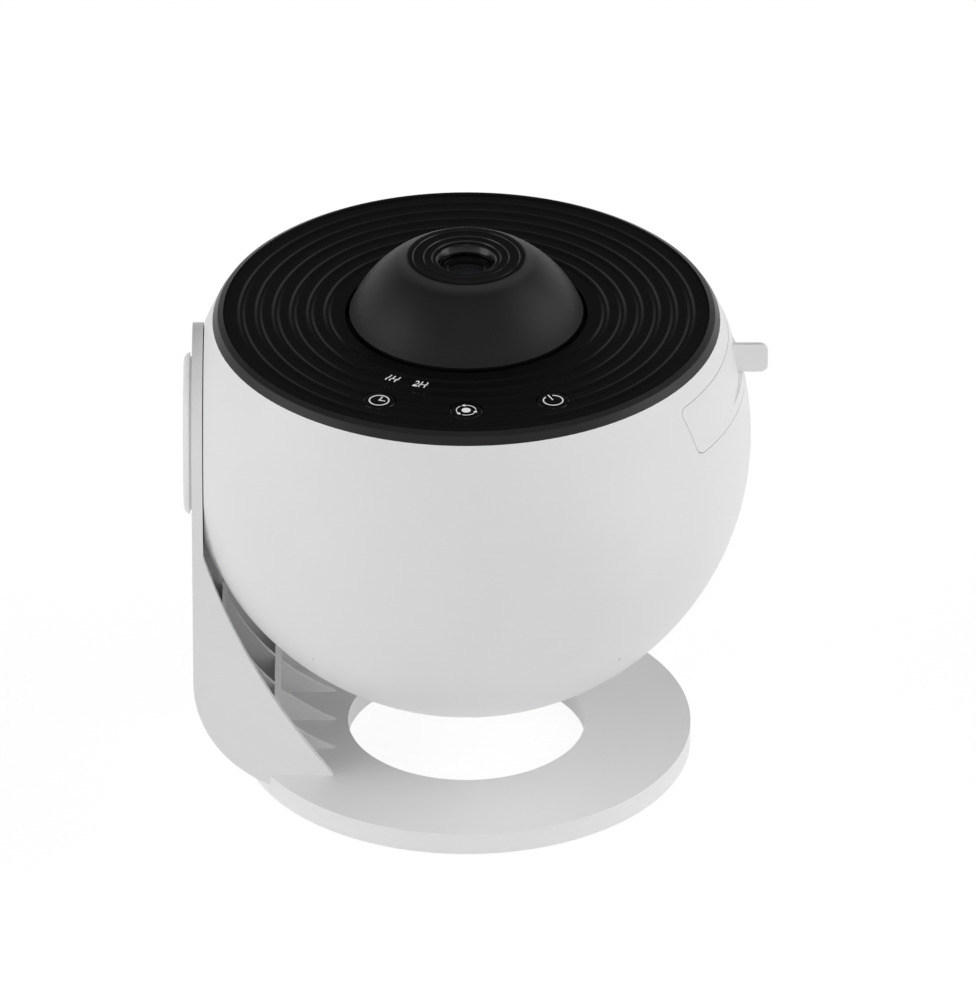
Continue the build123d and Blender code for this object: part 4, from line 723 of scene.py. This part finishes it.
def arrowHead(bm, radius, turn, size):
    place = Matrix.Rotation(radians(turn), 4, "Z") @ Matrix.Translation((radius, 0, 0))
    bmesh.ops.create_circle(bm, cap_ends=True, segments=3, radius=size, matrix=place)


def makeIcon(name, body, index, draw):
    bm = bmesh.new()
    draw(bm, iconShape)
    bmesh.ops.remove_doubles(bm, verts=bm.verts, dist=mergeDistance)
    lifted = bmesh.ops.extrude_face_region(bm, geom=bm.faces[:])
    moved = [item for item in lifted["geom"] if isinstance(item, bmesh.types.BMVert)]
    bmesh.ops.translate(bm, verts=moved, vec=(0, 0, iconShape["ink"]))
    turn = Matrix.Rotation(radians(keyTurn(panelShape, index)), 3, "Z")
    bmesh.ops.rotate(bm, verts=bm.verts, cent=(0, 0, 0), matrix=turn)
    place = keyPlace(panelShape, index) + Vector((0, 0, keyShape["top"]))
    bmesh.ops.translate(bm, verts=bm.verts, vec=place)
    addPiece(name, bm, iconWhite, body)


def drawClock(bm, s):
    arcStrip(bm, s["ring"], s["stroke"], 0, 360, steps=72)
    for start, end in s["hands"]:
        barStrip(bm, start, end, s["stroke"])


def drawRotation(bm, s):
    for turn in s["arrowTurns"]:
        arcStrip(
            bm, s["ring"], s["stroke"] - s["thinner"], turn + s["gap"], 120 - 2 * s["gap"], steps=24)
        arrowHead(bm, s["ring"], turn - s["gap"] + s["arrowLead"], s["arrow"])
    bmesh.ops.create_circle(bm, cap_ends=True, segments=48, radius=s["dot"])


def drawPower(bm, s):
    arcStrip(bm, s["ring"], s["stroke"], 90 + s["powerGap"], 360 - 2 * s["powerGap"], steps=60)
    barStrip(bm, *s["powerBar"], s["stroke"])


makeIcon("timerIcon", "timer_key", 0, drawClock)
makeIcon("rotationIcon", "rotation_key", 1, drawRotation)
makeIcon("powerIcon", "power_key", 2, drawPower)


def makeMark(name, words, turn, s):
    text = bpy.data.curves.new(name, "FONT")
    text.body = words
    text.size = s["size"]
    text.align_x, text.align_y = "CENTER", "CENTER"
    text.shear = s["slant"]
    text.extrude = s["ink"] / 2
    holder = addObject(name, text)
    bpy.context.view_layer.update()
    mesh = bpy.data.meshes.new_from_object(holder)
    bpy.data.objects.remove(holder)
    bm = bmesh.new()
    bm.from_mesh(mesh)
    angle = radians(-90 - turn)
    place = (s["circle"] * cos(angle), s["circle"] * sin(angle), panelShape["top"] + s["ink"])
    bmesh.ops.scale(bm, verts=bm.verts, vec=(1, s["stretch"], 1))
    bmesh.ops.rotate(bm, verts=bm.verts, cent=(0, 0, 0), matrix=Matrix.Rotation(radians(-turn), 3, "Z"))
    bmesh.ops.translate(bm, verts=bm.verts, vec=place)
    # the print follows the ridges that it crosses
    bmesh.ops.triangulate(bm, faces=bm.faces)
    bmesh.ops.subdivide_edges(bm, edges=bm.edges, cuts=s["cuts"], use_grid_fill=True)
    for vert in bm.verts:
        vert.co.z += rippleLift(panelShape, vert.co.xy.length)
    addPiece(name, bm, iconWhite, "ball")


for words, turn in zip(("1H", "2H"), markShape["turns"]):
    makeMark("mark" + words, words, turn, markShape)
print("stage: icons and marks")

floorSettings = {
    "size": 30.0,            # m
    "grey": 0.90, "mottle": 0.01, "mottleScale": 3,
    "ownLight": 0.88,        # for camera, glossy and transmission rays, so that the floor reads white
    "shadowPart": 0.22,
}


def makeFloor(s):
    bm = bmesh.new()
    bmesh.ops.create_grid(bm, x_segments=8, y_segments=8, size=s["size"])
    mesh = meshFrom("studioFloor", bm)
    f = Finish("floorPaper")
    plain = f.node("ShaderNodeBsdfDiffuse", values={"Color": f.mixColour(
        f.noise(s["mottleScale"]), grey(s["grey"] - s["mottle"]), grey(s["grey"] + s["mottle"]))})
    shade = f.node("ShaderNodeBsdfDiffuse", values={"Color": grey(s["shadowPart"])})
    glow = f.node("ShaderNodeEmission", values={"Color": grey(1.0), "Strength": s["ownLight"]})
    seen = f.node("ShaderNodeAddShader", values={0: shade, 1: glow})
    rays = f.node("ShaderNodeLightPath").socket.node.outputs
    camera, glossy, through = (
        Wire(f, rays[name]) for name in ("Is Camera Ray", "Is Glossy Ray", "Is Transmission Ray"))
    looks = f.math("MAXIMUM", f.math("MAXIMUM", camera, glossy), through)
    mixed = f.node("ShaderNodeMixShader", values={0: looks, 1: plain, 2: seen})
    f.node("ShaderNodeOutputMaterial", values={"Surface": mixed})
    mesh.materials.append(f.owner)
    addObject("studioFloor", mesh)


# each pair of ends is a part of the direction to the sky, from -1 to 1
skySettings = {
    "band": 0.90,            # a bright band all round, low down
    "bandEnd": (0.35, 0.75),
    "high": 0.22,
    "sideLift": 0.16,
    "sideEnds": (0.35, 0.95),
    "flag": 0.10,            # a dark flag behind keeps the gloss panel black
    "flagWidth": (0.05, 0.60),
    "backHigh": 0.06,
    "backEnd": (0.30, 0.50),
    "backStart": (0.15, 0.60),
}


def makeSky(s):
    world = bpy.data.worlds.new("studioSky")
    bpy.context.scene.world = world
    f = Finish("studioSky", world)
    x, y, z = f.split(f.node("ShaderNodeTexCoord", out="Generated"))
    across = f.math("ABSOLUTE", x)
    up = f.soften(z, *s["bandEnd"])
    band = s["band"] + f.soften(across, *s["sideEnds"]) * s["sideLift"]
    around = band * (1 - up) + s["high"] * up
    side = f.soften(across, *s["flagWidth"])
    dark = f.soften(z, *s["backEnd"])
    low = s["flag"] * (1 - side) + s["band"] * side
    behind = low * (1 - dark) + s["backHigh"] * dark
    back = f.soften(y, *s["backStart"])
    level = around * (1 - back) + behind * back
    shine = f.node("ShaderNodeBackground", values={"Color": grey(1.0), "Strength": level})
    f.node("ShaderNodeOutputWorld", values={"Surface": shine})


lampAim = (0, 0, 0.08)
lampSettings = {
    "topSoftbox": {"place": (0.0, -1.3, 2.3), "size": 0.9, "watts": 2.5},
    "leftSoftbox": {"place": (-2.5, -0.5, 1.3), "size": 1.8, "watts": 13.0},
    "rightSoftbox": {"place": (2.5, 0.3, 1.7), "size": 2.0, "watts": 20.0},
}


def makeLamp(name, s):
    data = bpy.data.lights.new(name, "AREA")
    data.shape = "SQUARE"
    data.size = s["size"]
    data.energy = s["watts"]
    lamp = addObject(name, data)
    lamp.location = s["place"]
    aim = Vector(lampAim) - Vector(s["place"])
    lamp.rotation_euler = aim.to_track_quat("-Z", "Y").to_euler()


makeFloor(floorSettings)
makeSky(skySettings)
for name, settings in lampSettings.items():
    makeLamp(name, settings)
bpy.context.scene.view_settings.view_transform = "Standard"
print("stage: floor, sky and lamps")
